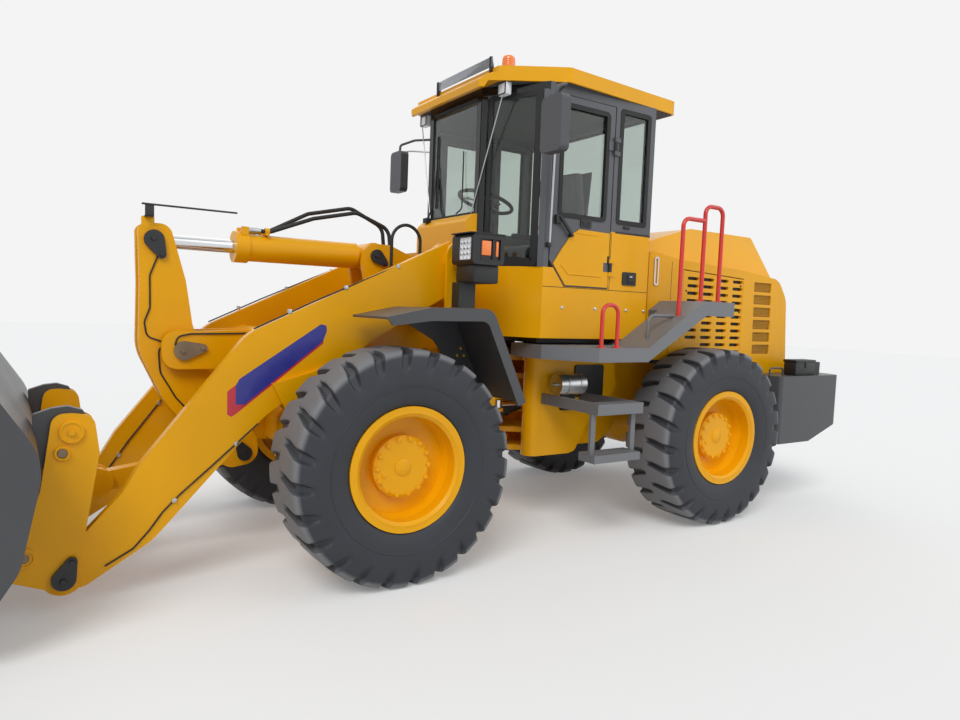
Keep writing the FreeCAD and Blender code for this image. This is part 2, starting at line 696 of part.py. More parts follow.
def front_fender():
    """Bent strip over the wheel with its inner closing panel."""
    strip = [
        (159, 1517), (-115, 1575, 200), (-530, 1582, 90), (-798, 1021), (-778, 1012), (-512, 1566, 75),
        (-116, 1560, 190),
        (159, 1504)]
    web = [(-115, 1565), (-515, 1570, 70), (-785, 1020), (-650, 1010, 20), (-390, 1370, 60), (-150, 1500)]
    band = [
        (159, 1516), (-115, 1574, 200), (-529, 1581, 90), (-797, 1021), (-742, 996), (-496, 1508, 60),
        (-119, 1502, 170),
        (120, 1470, 15)]
    top = side_plate(over_wheel(strip), FENDER_IN, FENDER_OUT)
    panel = side_plate(over_wheel(web), FENDER_IN, FENDER_IN + FENDER_WALL)
    lip = side_plate(over_wheel(band), FENDER_OUT - FENDER_WALL, FENDER_OUT)
    return fused(top, panel, lip)


def headlight():
    """Lamp housing on its tapered box and post above the front fender, recessed for its lens and side window."""
    near, far = FENDER_IN + 60, FENDER_IN + 305
    back, front = WHEEL_X - 700, WHEEL_X - 470
    post = box(front - 120, front, near + 16, near + 100, 1582, 1740)
    case = side_plate([(back + 15, 1850), (back + 45, 1735, 15), (front - 50, 1735, 15),
        (front - 30, 1850)],
                      near + 15, far - 45)
    head = side_plate([(back, 1850, 25), (back, 2035, 20), (front, 2035, 25), (front, 1850, 25)], near, far)
    lens = box(front - LENS_DEPTH, front + 5, near + 90, far - 20, 1875, 2010)
    window = box(back + 30, front - 60, far - LENS_DEPTH, far + 5, 1880, 2005)
    return fused(post, case, head.cut(lens).cut(window))


def rear_frame():
    """Side plates, articulation columns with their hinge plates, cross members and side tanks."""
    x0 = COLUMN[0]
    tank_top = DECK_TOP - DECK_DEPTH - SEAT
    plate = [
        (x0, 560), (x0, 1240), (-900, 1240), (FRAME_REAR + 700, 1080, 80), (FRAME_REAR, 1080),
        (FRAME_REAR, 800, 60),
        (FRAME_REAR + 600, 760, 80), (-WHEEL_X - 410, 860, 60), (-WHEEL_X + 410, 860, 60),
        (-WHEEL_X + 550, 620, 60),
        (-WHEEL_X + 650, 560, 60)]
    side = side_plate(plate, FRAME_Y - FRAME_PLATE, FRAME_Y)
    column = fused(
        round_z(COLUMN[0], COLUMN[1], COLUMN_R, COLUMN_BASE, COLUMN_TOP),
        round_z(COLUMN[0], COLUMN[1], COLUMN_R + 12, COLUMN_TOP - 20, COLUMN_TOP),
        round_z(COLUMN[0], COLUMN[1], MOUNT_R, COLUMN_TOP, CAB_BOTTOM - SEAT),
        round_z(-720, FRAME_Y - 35, MOUNT_R, 1200, CAB_BOTTOM - SEAT))
    tank = side_plate(
        [(x0, 515), (x0, tank_top), (-WHEEL_X + 590, tank_top), (-WHEEL_X + 550, 1000, 40),
            (-WHEEL_X + 670, 885),
         (-WHEEL_X + 810, 776), (-WHEEL_X + 950, 530, 60), (-WHEEL_X + 1010, 515)],
        FRAME_Y, TANK_Y)
    hinge = [(70, -70, 60), (70, 70, 60), (-60, 140, 60), (-330, 375), (-330, -375), (-60, -140, 60)]
    plates = []
    for z in (HINGE_LOW, HINGE_HIGH):
        for gap in (-1, 1):
            mid = z + gap * HINGE_GAP
            plates.append(flat_plate(hinge, mid - HINGE_PLATE / 2, mid + HINGE_PLATE / 2))
        plates.append(round_z(0, 0, HINGE_R, z - HINGE_GAP - 30, z + HINGE_GAP + 30))
    cross = [
        box(-360, -330, -380, 380, 515, 1230).cut(box(-370, -320, -330, 330, 740, 970)),
        box(-WHEEL_X - 610, -WHEEL_X - 390, -380, 380, 1000, 1040),
        box(FRAME_REAR, FRAME_REAR + 30, -380, 380, 800, 1080),
    ]
    trunnion = box(-WHEEL_X - AXLE_BOWL_R - 70, -WHEEL_X - AXLE_BOWL_R + 40, -380, 380, TYRE_R + 190,
        TYRE_R + 250)
    ears = both(fused(
        flat_plate([(STEER_BASE[0] - 45, 385), (STEER_BASE[0] - 45, 225, 40), (STEER_BASE[0] + 45, 225, 40),
                    (STEER_BASE[0] + 45, 385)], STEER_Z + 35, STEER_Z + 60),
        flat_plate([(STEER_BASE[0] - 45, 385), (STEER_BASE[0] - 45, 225, 40), (STEER_BASE[0] + 45, 225, 40),
                    (STEER_BASE[0] + 45, 385)], STEER_Z - 60, STEER_Z - 35),
        round_z(STEER_BASE[0], STEER_BASE[1], 22, STEER_Z - 60, STEER_Z + 60)))
    return fused(both(fused(side, column, tank)), trunnion, ears, *cross, *plates)


def counterweight():
    inner = FRAME_Y + SEAT
    notch = FRAME_REAR - SEAT
    half = [
        (WEIGHT_FRONT, inner), (WEIGHT_FRONT, 745), (WEIGHT_FRONT - 100, WEIGHT_Y, 40),
        (REAR_END + 60, WEIGHT_Y, 60),
        (REAR_END, WEIGHT_Y - 160, 60)]
    other = [(p[0], -p[1]) + tuple(p[2:]) for p in reversed(half)]
    block = flat_plate(half + other + [(notch, -inner), (notch, inner)], 540, WEIGHT_TOP)
    slope = side_plate([(REAR_END + 459, 500), (REAR_END + 459, 541), (REAR_END - 10, 702),
        (REAR_END - 10, 500)], -1100, 1100)
    hitch = box(REAR_END - 5, HITCH_X + 80, -60, 60, HITCH_LOW + 80, HITCH_LOW + 160)
    pin = round_z(HITCH_X, 0, HITCH_PIN_R, HITCH_LOW, WEIGHT_TOP + 1)
    return block.cut(slope).cut(hitch).cut(pin)


def engine_block():
    return fused(box(-2350, -1250, -300, 300, 1060, 1750),
        box(-1250, GEARBOX_X, -260, 260, GEARBOX_LOW, 1300))


HOOD_SIDE = [
    (-2080, WEIGHT_TOP + SEAT), (-2080, 1240), (HOOD_FRONT, 1240), (HOOD_FRONT, 2080, 30),
    (-1240, 2030, 300), (-2000, 1995, 300), (-2520, 1943, 160),
    (-2644, 1771, 200), (-2700, WEIGHT_TOP + SEAT)]
HOOD_DOOR = [(-1420, 1270), (-1270, 1390), (-1270, 1960), (-2030, 1925), (-2030, 1270)]
HOOD_COVER = [
    (HOOD_FRONT, 1900), (HOOD_FRONT, 2115), (-1230, 2218, 200), (-1650, 2333, 200), (-2470, 2328, 20),
    (-2600, 1900)]


def hood_cover(inset):
    """Raised top of the hood, sloping to both sides and to the rear, moved inward by the inset."""
    y, eave = HOOD_SLOPE_Y - inset, HOOD_EAVE_Y - inset
    length = side_plate([(p[0], p[1] - inset) + tuple(p[2:]) for p in HOOD_COVER], -eave, eave)
    ridge = HOOD_RIDGE - inset
    section = cross_plate([(-eave, HOOD_EAVE - inset), (-y, ridge), (y, ridge), (eave, HOOD_EAVE - inset)],
                          HOOD_COVER[-1][0] + inset * 1.5, HOOD_FRONT - inset)
    return length.common(section)


def side_vents():
    """Recesses for the mesh panels behind the service doors."""
    width, height = VENT
    top = 1905.0
    recess = []
    for i in range(VENTS):
        z = top - i * VENT_PITCH
        x = -2175.0 - 4.0 * i
        recess.append(side_plate(
            [(x, z, 10), (x, z - height, 10), (x - width, z - height, 10), (x - width, z, 10)],
            HOOD_Y - VENT_DEPTH, HOOD_Y + 5))
    return recess


def hood():
    """Engine hood: side walls, rounded rear and raised top cover; the service doors are apart."""
    shell = fused(side_plate(HOOD_SIDE, -HOOD_Y, HOOD_Y), hood_cover(0))
    w = HOOD_WALL
    core = side_plate(
        [(HOOD_FRONT + 10, 1100), (HOOD_FRONT + 10, 2050, 20), (-1240, 2000, 280), (-2000, 1965, 280),
         (-2500, 1915, 140), (-2615, 1765, 180), (-2670, 1100)], -HOOD_Y + w, HOOD_Y - w)
    shell = shell.cut(fused(core, hood_cover(w)))
    doorway = side_plate(HOOD_DOOR, -HOOD_Y - 5, HOOD_Y + 5)
    vents = Part.makeCompound(side_vents())
    intake = box(REAR_END, HOOD_SIDE[-2][0] + 40, GRILLE_RIM - GRILLE_Y, GRILLE_Y - GRILLE_RIM,
                 GRILLE_LOW + GRILLE_RIM, GRILLE_HIGH - GRILLE_RIM)
    shell = shell.cut(doorway).cut(vents).cut(mirrored(vents)).cut(intake)
    return fused(shell, *[grille_hinge(z, True) for z in GRILLE_HINGES])


def service_panel():
    """Louvred side panel of the hood, lifted off for service, seated on its lower edge."""
    face = Part.Face(outline(HOOD_DOOR).makeOffset2D(-DOOR_GAP, 2))
    face.rotate(vec(0, 0, 0), vec(1, 0, 0), 90)
    face.translate(vec(0, HOOD_Y - HOOD_WALL, SEAT - DOOR_GAP))
    leaf = face.extrude(vec(0, HOOD_WALL, 0))
    width, height = SLOT
    r = height / 2 - 0.5
    slots = []
    for column in range(SLOT_COLUMNS):
        x = HOOD_DOOR[1][0] - 55 - column * SLOT_PITCH[0]
        for row in range(SLOT_ROWS):
            z = HOOD_DOOR[2][1] - 55 - row * SLOT_PITCH[1]
            if column == 0 and row >= SLOT_ROWS - 2:
                continue
            slots.append(side_plate(
                [(x, z, r), (x, z - height, r), (x - width, z - height, r), (x - width, z, r)],
                HOOD_Y - HOOD_WALL - 5, HOOD_Y + 5))
    return leaf.cut(Part.makeCompound(slots))


def hood_rear(z, out):
    """X of the sloping rear of the hood at a height, moved outward."""
    (x0, z0), (x1, z1) = HOOD_SIDE[-1], HOOD_SIDE[-2][:2]
    return x0 + (x1 - x0) * (z - z0) / (z1 - z0) - out


def grille_hinge(z, fixed):
    """Half of a grille hinge about its slanted pin: the hood's lugs and pin, or the grille's barrel."""
    y = -GRILLE_Y - GRILLE_BARREL
    mid = GRILLE_GAP + GRILLE_THICK / 2
    def at(height):
        return vec(hood_rear(height, mid), y, height)
    inner, outer = 30.0, 60.0
    if not fixed:
        barrel = bar(at(z - inner), at(z + inner), GRILLE_BARREL)
        tab = box(at(z).x - 5, at(z).x + 5, y, -GRILLE_Y + 20, z - inner + 4, z + inner - 4)
        return fused(barrel, tab).cut(bar(at(z - outer), at(z + outer), GRILLE_PIN + PIN_FIT))
    lugs = [bar(at(z + a), at(z + b), GRILLE_BARREL) for a,
        b in ((-outer, -inner - SEAT), (inner + SEAT, outer))]
    tabs = [box(at(m).x - 5, hood_rear(m, -10), y - 5, y + 5, m - 12, m + 12) for m in (z - 47, z + 47)]
    return fused(bar(at(z - outer), at(z + outer), GRILLE_PIN), *lugs, *tabs)


def rear_grille():
    """Radiator grille at the rear, hinged on its right edge, parallel to the sloping hood."""
    near, far = GRILLE_GAP, GRILLE_GAP + GRILLE_THICK
    leaf = side_plate(
        [(hood_rear(GRILLE_LOW, near), GRILLE_LOW), (hood_rear(GRILLE_HIGH, near), GRILLE_HIGH),
         (hood_rear(GRILLE_HIGH, far), GRILLE_HIGH), (hood_rear(GRILLE_LOW, far), GRILLE_LOW)],
         -GRILLE_Y, GRILLE_Y)
    slots = []
    z = GRILLE_LOW + GRILLE_RIM
    while z + GRILLE_SLOT <= GRILLE_HIGH - GRILLE_RIM:
        slots.append(both(box(hood_rear(z, far + 60), hood_rear(z, -60), 20, GRILLE_Y - GRILLE_RIM, z,
            z + GRILLE_SLOT)))
        z += GRILLE_PITCH
    return fused(leaf.cut(Part.makeCompound(slots)), *[grille_hinge(z, False) for z in GRILLE_HINGES])


def cab_plan(inset):
    """Cab outline in plan, moved inward by the inset."""
    y = CAB_Y - inset
    fx, fy = CAB_FRONT[0] - inset, CAB_FRONT[1] - inset * 0.4
    cx = CAB_CORNER - inset * 0.4
    rear = CAB_REAR + inset
    return [(rear, -y), (cx, -y), (fx, -fy), (fx, fy), (cx, y), (rear, y)]


DOOR_OUTLINE = [
    (DOOR_REAR, SILL), (30, SILL), (CAB_CORNER - 45, 1930), (CAB_CORNER - 45, CAB_EAVES - 60),
    (DOOR_REAR, CAB_EAVES - 60)]


def cab_body():
    """Yellow lower cab: floor, walls up to the sill and belt, and the front cowl."""
    low = flat_plate(cab_plan(0), CAB_BOTTOM, GLASS_SILL).cut(
        flat_plate(cab_plan(CAB_WALL), CAB_FLOOR, SILL + 200))
    rear = flat_plate(cab_plan(0), SILL, BELT).cut(flat_plate(cab_plan(CAB_WALL), SILL - 5, BELT + 5))
    rear = rear.cut(box(DOOR_REAR - 5, 700, -900, 900, SILL - 5, BELT + 5))
    cowl = side_plate(
        [(CAB_FRONT[0] - CAB_WALL, GLASS_SILL - 10), (CAB_FRONT[0] - CAB_WALL, COWL_TOP),
            (CAB_FRONT[0] + 30, COWL_TOP, 25),
         (CAB_FRONT[0] + 90, COWL_TOP - 50, 40), (CAB_FRONT[0] + 90, 1900, 60), (CAB_FRONT[0] - 5, 1780)],
        -CAB_FRONT[1] + 5, CAB_FRONT[1] - 5)
    body = fused(low, rear, cowl)
    doorway = side_plate(DOOR_OUTLINE, -900, -CAB_Y + CAB_WALL + 5)
    return fused(body.cut(doorway).cut(mirrored(doorway)), both(door_hinge(DOOR_HINGES[0], True)))


def cab_frame():
    """Grey posts and rails that carry the roof."""
    top = flat_plate(cab_plan(0), CAB_EAVES - 60, CAB_EAVES).cut(
        flat_plate(cab_plan(POST), CAB_EAVES - 70, CAB_EAVES + 10))
    tops = CAB_EAVES - 50
    rear = box(CAB_REAR, CAB_REAR + POST, CAB_Y - POST, CAB_Y, BELT, tops)
    middle = box(DOOR_REAR - 60, DOOR_REAR - 5, CAB_Y - POST, CAB_Y, BELT, tops)
    middle_low = box(CAB_REAR, DOOR_REAR - 5, CAB_Y - POST, CAB_Y, BELT, BELT + 80)
    sill = GLASS_SILL
    corner = flat_plate([(CAB_CORNER - 40, CAB_Y), (CAB_CORNER, CAB_Y), (CAB_CORNER + 30, CAB_Y - 30),
                         (CAB_CORNER - 10, CAB_Y - 70), (CAB_CORNER - 40, CAB_Y - 50)], sill, tops)
    front = flat_plate([(CAB_FRONT[0], CAB_FRONT[1]), (CAB_FRONT[0], CAB_FRONT[1] - 50),
                        (CAB_FRONT[0] - 40, CAB_FRONT[1] - 40), (CAB_FRONT[0] - 30, CAB_FRONT[1] + 25)],
                        sill, tops)
    front = front.cut(box(0, CAB_FRONT[0] + 200, 0, CAB_FRONT[1] - 5 + SEAT, sill - 5, COWL_TOP + SEAT))
    back_rail = box(CAB_REAR, CAB_REAR + POST, -CAB_Y + POST - 5, CAB_Y - POST + 5, BELT, BELT + 80)
    hinge = door_hinge(DOOR_HINGES[1], True)
    return fused(both(fused(rear, middle, middle_low, corner, front, hinge)), top, back_rail)


def pane(x0, y0, x1, y1, z0, z1, inset=8.0):
    """A flat upright pane between two plan points, set inward by the inset."""
    length = math.hypot(x1 - x0, y1 - y0)
    ux, uy = (x1 - x0) / length, (y1 - y0) / length
    nx, ny = -uy, ux
    a, b = inset, inset + GLASS
    return flat_plate([
        (x0 + nx * a, y0 + ny * a), (x1 + nx * a, y1 + ny * a), (x1 + nx * b, y1 + ny * b),
        (x0 + nx * b, y0 + ny * b)], z0, z1)


def cab_glass():
    top = CAB_EAVES - 60
    sill = GLASS_SILL
    cx, cy = CAB_CORNER, CAB_Y
    fx, fy = CAB_FRONT
    quarter = pane(fx - 42, fy + 38, cx + 38, cy - 38, sill, top)
    side = pane(DOOR_REAR - 60, cy, CAB_REAR + POST, cy, BELT + 80, top)
    front = pane(fx, -fy + 50, fx, fy - 50, COWL_TOP, top)
    back = pane(CAB_REAR, cy - POST, CAB_REAR, -cy + POST, BELT + 80, top)
    return [quarter, mirrored(quarter), side, mirrored(side), front, back]


def door_window(y0, y1):
    """The rounded window of the door between two planes."""
    x0, x1 = DOOR_REAR + 70, CAB_CORNER - 120
    low, high = BELT + 80, CAB_EAVES - 130
    return side_plate([(x0, low, 30), (x0, high, 30), (x1, high, 30), (x1, low, 30)], y0, y1)


def cab_door():
    """Door frame with its window cut out; hinged at the rear."""
    face = Part.Face(outline(DOOR_OUTLINE).makeOffset2D(-DOOR_GAP, 2))
    face.rotate(vec(0, 0, 0), vec(1, 0, 0), 90)
    face.translate(vec(0, CAB_Y - CAB_WALL, 0))
    leaf = face.extrude(vec(0, CAB_WALL, 0))
    window = door_window(CAB_Y - CAB_WALL - 1, CAB_Y + 1)
    return fused(leaf.cut(window), *[door_hinge(z, False) for z in DOOR_HINGES])


def door_glass():
    return door_window(CAB_Y - 24, CAB_Y - 24 + GLASS)


def door_hinge(z, fixed):
    """Half of a door hinge: the cab's lugs and pin, or the barrel on the door."""
    y = CAB_Y + DOOR_BARREL
    inner, outer = 32.0, 62.0
    if not fixed:
        barrel = round_z(DOOR_REAR, y, DOOR_BARREL, z - inner, z + inner)
        tab = box(DOOR_REAR, DOOR_REAR + 60, CAB_Y, CAB_Y + 9, z - inner, z + inner)
        return fused(barrel, tab).cut(round_z(DOOR_REAR, y, DOOR_PIN + PIN_FIT, z - outer, z + outer))
    lugs = []
    for a, b in ((-outer, -inner - SEAT), (inner + SEAT, outer)):
        lugs.append(round_z(DOOR_REAR, y, DOOR_BARREL, z + a, z + b))
        lugs.append(box(DOOR_REAR - 50, DOOR_REAR, CAB_Y, CAB_Y + 9, z + a, z + b))
    return fused(round_z(DOOR_REAR, y, DOOR_PIN, z - outer, z + outer), *lugs)


def cab_roof():
    """Roof cap with its chamfered corners, and the lower lip over the windscreen."""
    top = CAB_EAVES + ROOF_THICK
    plan = [(-1000, -760, 40), (-1000, 760, 40), (100, 840, 60), (445, 600, 40), (490, ROOF_LIP_Y),
        (490, -ROOF_LIP_Y),
            (445, -600, 40), (100, -840, 60)]
    cap = flat_plate(plan, CAB_EAVES, top)
    lip = side_plate([(470, CAB_EAVES), (470, top - 30), (530, top - 45, 12), (590, CAB_EAVES + 5),
        (585, CAB_EAVES - 40),
                      (560, CAB_EAVES - 40), (540, CAB_EAVES)], -ROOF_LIP_Y, ROOF_LIP_Y)
    edge = flat_plate([(-1002, -762, 40), (-1002, 762, 40), (100, 842, 60), (447, 602, 40), (700, 380),
        (700, -380),
                       (447, -602, 40), (100, -842, 60)], CAB_EAVES - 60, top + 5)
    dish = flat_plate([(-930, -690, 40), (-930, 690, 40), (80, 765, 60), (370, 560, 40),
        (370, -560, 40), (80, -765, 60)],
                      top - ROOF_DISH, top + 5)
    return fused(cap, lip).common(edge).cut(dish)


def roof_lamps():
    base = CAB_EAVES + ROOF_THICK - ROOF_DISH + SEAT
    beacon = fused(round_z(300, 400, 64, base, base + 40), round_z(300, 400, 50, base, base + 170))
    lamp = box(395, 450, 495, 590, CAB_EAVES - 85, CAB_EAVES)
    return [beacon, lamp, mirrored(lamp)]


def seat():
    base = box(-560, -180, -200, 200, CAB_FLOOR, CAB_FLOOR + 330)
    cushion = box(-600, -120, -260, 260, CAB_FLOOR + 330, CAB_FLOOR + 460)
    back = side_plate([(-600, CAB_FLOOR + 450), (-480, CAB_FLOOR + 450), (-560, CAB_FLOOR + 1080, 40),
                       (-680, CAB_FLOOR + 1080, 40)], -250, 250)
    return fused(base, cushion, back)


def steering_column():
    """Console with the steering wheel, whose rim is held by one plain spoke disc."""
    console = box(300, CAB_FRONT[0] - CAB_WALL - 2, -170, 170, CAB_FLOOR, CAB_FLOOR + 500)
    hub = vec(WHEEL_HUB[0], 0, WHEEL_HUB[1])
    lean = vec(-0.5, 0, 0.866)
    column = bar(hub - lean * 330, hub, 38)
    rim_ring = Part.makeTorus(185, 14, hub, lean)
    disc = Part.makeCylinder(186, 9, hub - lean * 5, lean)
    arms = fused(
        disc.common(box(hub.x - 400, hub.x + 400, -22, 22, CAB_FLOOR, CAB_EAVES)),
        disc.common(box(hub.x - 400, hub.x + 400, -186, 186, hub.z - 25, hub.z + 20)),
        disc.common(Part.makeCylinder(60, 60, hub - lean * 30, lean)))
    return fused(console, column, rim_ring, arms, bar(hub - lean * 300, vec(330, 0, CAB_FLOOR + 420), 60))


def platform():
    """Deck beside the cab, rising to the rear fender, with its grab handle and side band."""
    deck = flat_plate([(-480, DECK_IN), (-480, DECK_Y), (-15, DECK_Y), (215, 800), (215, DECK_IN)],
                      DECK_TOP - DECK_DEPTH, DECK_TOP)
    low = DECK_TOP - DECK_DEPTH
    rise = side_plate([(-470, low), (-470, DECK_TOP), (-1020, FENDER_TOP, 40), (-1360, FENDER_TOP),
                       (-1360, FENDER_TOP - FENDER_BAND), (-1050, FENDER_TOP - FENDER_BAND, 40)],
                       HOOD_Y + SEAT, DECK_Y)
    under = side_plate([(-500, low - 50), (-530, low + 25), (-1035, FENDER_TOP - 45, 40),
        (-1400, FENDER_TOP - 45),
                        (-1400, FENDER_TOP - 200), (-1000, FENDER_TOP - 200)], HOOD_Y + 25, DECK_Y - 25)
    rise = rise.cut(under).cut(box(-900, 0, 0, CAB_Y + RUNNING, CAB_BOTTOM - 5, 1800))
    y = DECK_Y - 120
    top = FENDER_TOP - 118
    grab = bent_tube([vec(-575, y, low + 110), vec(-575, y, top), vec(-870, y, top)], 55, 11)
    return fused(deck, rise, grab)


def steps():
    """Two treads on straps with the bar that carries them from the frame."""
    bar_in = box(-95, -55, TANK_Y + SEAT, 1060, 905, 980)
    upper = box(-460, -40, 1000, 1110, 905, 980)
    straps = [box(x, x + 40, 1040, 1060, 630, 910) for x in (-440, -70)]
    lower = box(-440, -20, 960, 1120, 585, 640)
    rear_bar = box(-460, -420, TANK_Y + SEAT, 1010, 905, 980)
    return fused(bar_in, rear_bar, upper, lower, *straps)


def handrails():
    """Hoop beside the step, and the three-legged rail on the rear fender."""
    r = RAIL_R
    hoop = bent_tube([vec(-60, 1085, DECK_TOP), vec(-60, 1085, 1640), vec(-200, 1085, 1640),
        vec(-200, 1085, DECK_TOP)],
                     60, 14)
    y, base, top = RAIL_Y, FENDER_TOP, 2400
    loop = bent_tube([vec(-1080, y, base), vec(-1080, y, top), vec(-1275, y, top), vec(-1275, y, base)],
        60, r)
    leg = bent_tube([vec(-850, y, base - 150), vec(-850, y, top - 110), vec(-1080, y, top - 110)], 60, r)
    rail = fused(loop, leg).cut(platform())
    return [hoop, mirrored(hoop), rail, mirrored(rail)]


def mirrors():
    """Rounded mirror heads on bent tubes from the front posts."""
    x = CAB_CORNER + 175
    arm = bent_tube([
        vec(CAB_CORNER - 15, CAB_Y + 4.1, 2990), vec(CAB_CORNER + 60, 1010, 3010),
            vec(x - 5, 1060, 2960), vec(x, 1060, 2890)],
        30, 10)
    head = cross_plate([(960, 2560, 35), (1160, 2560, 35), (1160, 2900, 35), (960, 2900, 35)], x - 35,
        x + 35)
    one = fused(arm, head)
    return [one, mirrored(one)]


def brake_reservoir():
    y = TANK_Y + SEAT + 95
    can = Part.makeCylinder(75, 240, vec(-110, y, 1055), vec(-1, 0, 0))
    brackets = [box(x - 15, x + 15, TANK_Y + SEAT, y, 1040, 1070) for x in (-170, -290)]
    return fused(can, *brackets)


def tail_lamps():
    lamp = box(-2900, -2740, 720, 900, WEIGHT_TOP, WEIGHT_TOP + 110)
    return [lamp, mirrored(lamp)]


def place_wheels():
    for name, left in (("tyre", tyre()), ("rim", rim())):
        for hand, side in (("left", 1), ("right", -1)):
            shape = left if side > 0 else mirrored(left)
            for end, x in (("front", WHEEL_X), ("rear", -WHEEL_X)):
                wheel = shape.copy()
                wheel.translate(vec(x, side * WHEEL_Y, TYRE_R))
                place("%s_%s_%s" % (name, end, hand), wheel)


def place_pairs():
    """Pieces that the machine has once on each side, each in its own body."""
    lift = lift_cylinder()
    steer = steer_cylinder()
    for name, shape in (
            ("lift_barrel", lift[0]), ("lift_rod", lift[1]), ("steer_barrel", steer[0]),
            ("steer_rod", steer[1]),
            ("cab_door", cab_door()), ("door_glass", door_glass())):
        place(name + "_left", shape)
        place(name + "_right", mirrored(shape))


def main():
    os.makedirs("parts", exist_ok=True)
    place_wheels()
    place_pairs()
    place("front_axle", front_axle())
    place("rear_axle", rear_axle())
    place("front_frame", front_frame())
    place("lift_arm", lift_arm())
    place("bellcrank", bellcrank())
    place("bucket_link", bucket_link())
    place("coupler", coupler())
    place("bucket", bucket())
    tilt = tilt_cylinder()
    place("tilt_barrel", tilt[0])
    place("tilt_rod", tilt[1])
    place("tilt_hoses", *tilt_hoses())
    place("tower_hose", tower_hose())
    fender = front_fender()
    place("front_fenders", fender, mirrored(fender))
    lamp = headlight()
    place("headlights", lamp, mirrored(lamp))
    place("rear_frame", rear_frame())
    place("counterweight", counterweight())
    front_shaft, rear_shaft, axle_shaft = drive_shafts()
    place("front_drive_shaft", front_shaft)
    place("rear_drive_shafts", rear_shaft, axle_shaft)
    place("engine_block", engine_block())
    place("hood", hood())
    panel = service_panel()
    place("service_panels", panel, mirrored(panel))
    place("rear_grille", rear_grille())
    place("cab_body", cab_body())
    place("cab_frame", cab_frame())
    place("cab_glass", *cab_glass())
    place("cab_roof", cab_roof())
    place("roof_lamps", *roof_lamps())
    place("seat", seat())
    place("steering_column", steering_column())
    deck = platform()
    place("platforms", deck, mirrored(deck))
    step = steps()
    place("steps", step, mirrored(step))
    place("handrails", *handrails())
    place("mirrors", *mirrors())
    place("brake_reservoir", brake_reservoir())
    place("tail_lamps", *tail_lamps())


main()
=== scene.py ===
import math

import bmesh
import bpy
from mathutils import Matrix, Vector


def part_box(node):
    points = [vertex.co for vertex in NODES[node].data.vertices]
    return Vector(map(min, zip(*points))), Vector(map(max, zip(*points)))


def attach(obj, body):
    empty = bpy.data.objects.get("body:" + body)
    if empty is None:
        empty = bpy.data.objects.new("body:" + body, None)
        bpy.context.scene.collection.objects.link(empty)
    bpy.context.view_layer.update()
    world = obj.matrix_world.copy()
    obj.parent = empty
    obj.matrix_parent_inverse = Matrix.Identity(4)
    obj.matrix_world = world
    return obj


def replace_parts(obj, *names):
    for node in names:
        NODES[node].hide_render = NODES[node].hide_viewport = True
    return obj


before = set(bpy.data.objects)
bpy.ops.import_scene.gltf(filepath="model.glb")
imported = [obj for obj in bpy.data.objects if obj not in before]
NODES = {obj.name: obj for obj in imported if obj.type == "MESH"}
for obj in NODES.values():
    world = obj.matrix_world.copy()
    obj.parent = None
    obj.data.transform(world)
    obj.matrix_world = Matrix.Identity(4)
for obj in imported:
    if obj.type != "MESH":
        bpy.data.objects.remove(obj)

bl_info = {
    "name": "Wheel Loader Looks",
    "version": (1, 0, 0),
    "blender": (4, 5, 0),
    "location": "3D View > Sidebar > Wheel Loader",
    "description": "Dresses the packed wheel loader with its paint, glass, rubber and small parts",
    "category": "Object",
}

# Sizes shared with the construction. Places are given in machine millimetres: x from the middle hinge,
# forward, y to the left and z up from the ground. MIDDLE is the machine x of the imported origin.
MIDDLE = 558.726
WHEEL_X = 1350.0
WHEEL_Y = 925.0
TYRE_R = 674.0
HUB_FACE = 109.0
ARM_FACE = 560.0
CAB_FACE = 780.0
HOOD_FACE = 690.0
LIFT_PLANE = 530.0
CAB_FLOOR = 1640.5
SCREEN_X = 479.5  # inner face of the windscreen's black edge
DECK_TOP = 1354.5
ARM_TIP = (2983.0, 165.0)  # the bucket is laid out level from here, then rolled back
BUCKET_ROLL = 20.0
BEACON = (300, 400, 0)
CANISTER_Y, CANISTER_Z = 577.3, 1055
FORWARD, LEFT, UP = (1, 0, 0), (0, 1, 0), (0, 0, 1)


def colour(hex_code, alpha=1.0):
    """Linear colour of an sRGB hex value."""
    values = []
    for i in (0, 2, 4):
        c = int(hex_code[i:i + 2], 16) / 255
        values.append(c / 12.92 if c <= 0.04045 else ((c + 0.055) / 1.055) ** 2.4)
    return (*values, alpha)


# What a user may change

def colour_property(name, description, hex_code):
    return bpy.props.FloatVectorProperty(
        name=name, description=description, subtype="COLOR", size=4, min=0.0, max=1.0, default=colour(hex_code))


def length_property(name, description, metres, low, high):
    return bpy.props.FloatProperty(
        name=name, description=description, unit="LENGTH", default=metres, min=low, max=high)


class LoaderPaint(bpy.types.PropertyGroup):
    """Colours of the paint, the trim and the lamp lenses"""
    body: colour_property("Body", "Enamel of the frames, arms, hood and cab", "F0AB00")
    cab: colour_property("Cab Frame", "Enamel of the cab posts and doors", "515358")
    deck: colour_property("Decks", "Enamel of the platforms and steps", "707275")
    dark: colour_property("Dark Parts", "Enamel of the fenders, counterweight and bucket", "444548")
    rail: colour_property("Rails", "Enamel of the handrails", "D72F25")
    film: colour_property("Arm Panel", "Blank film on the lift arms", "23288C")
    film_edge: colour_property("Arm Panel Edge", "Edge of the film on the lift arms", "C81E32")
    amber: colour_property("Amber Lens", "Beacon and turn lamp lenses", "F07A18")


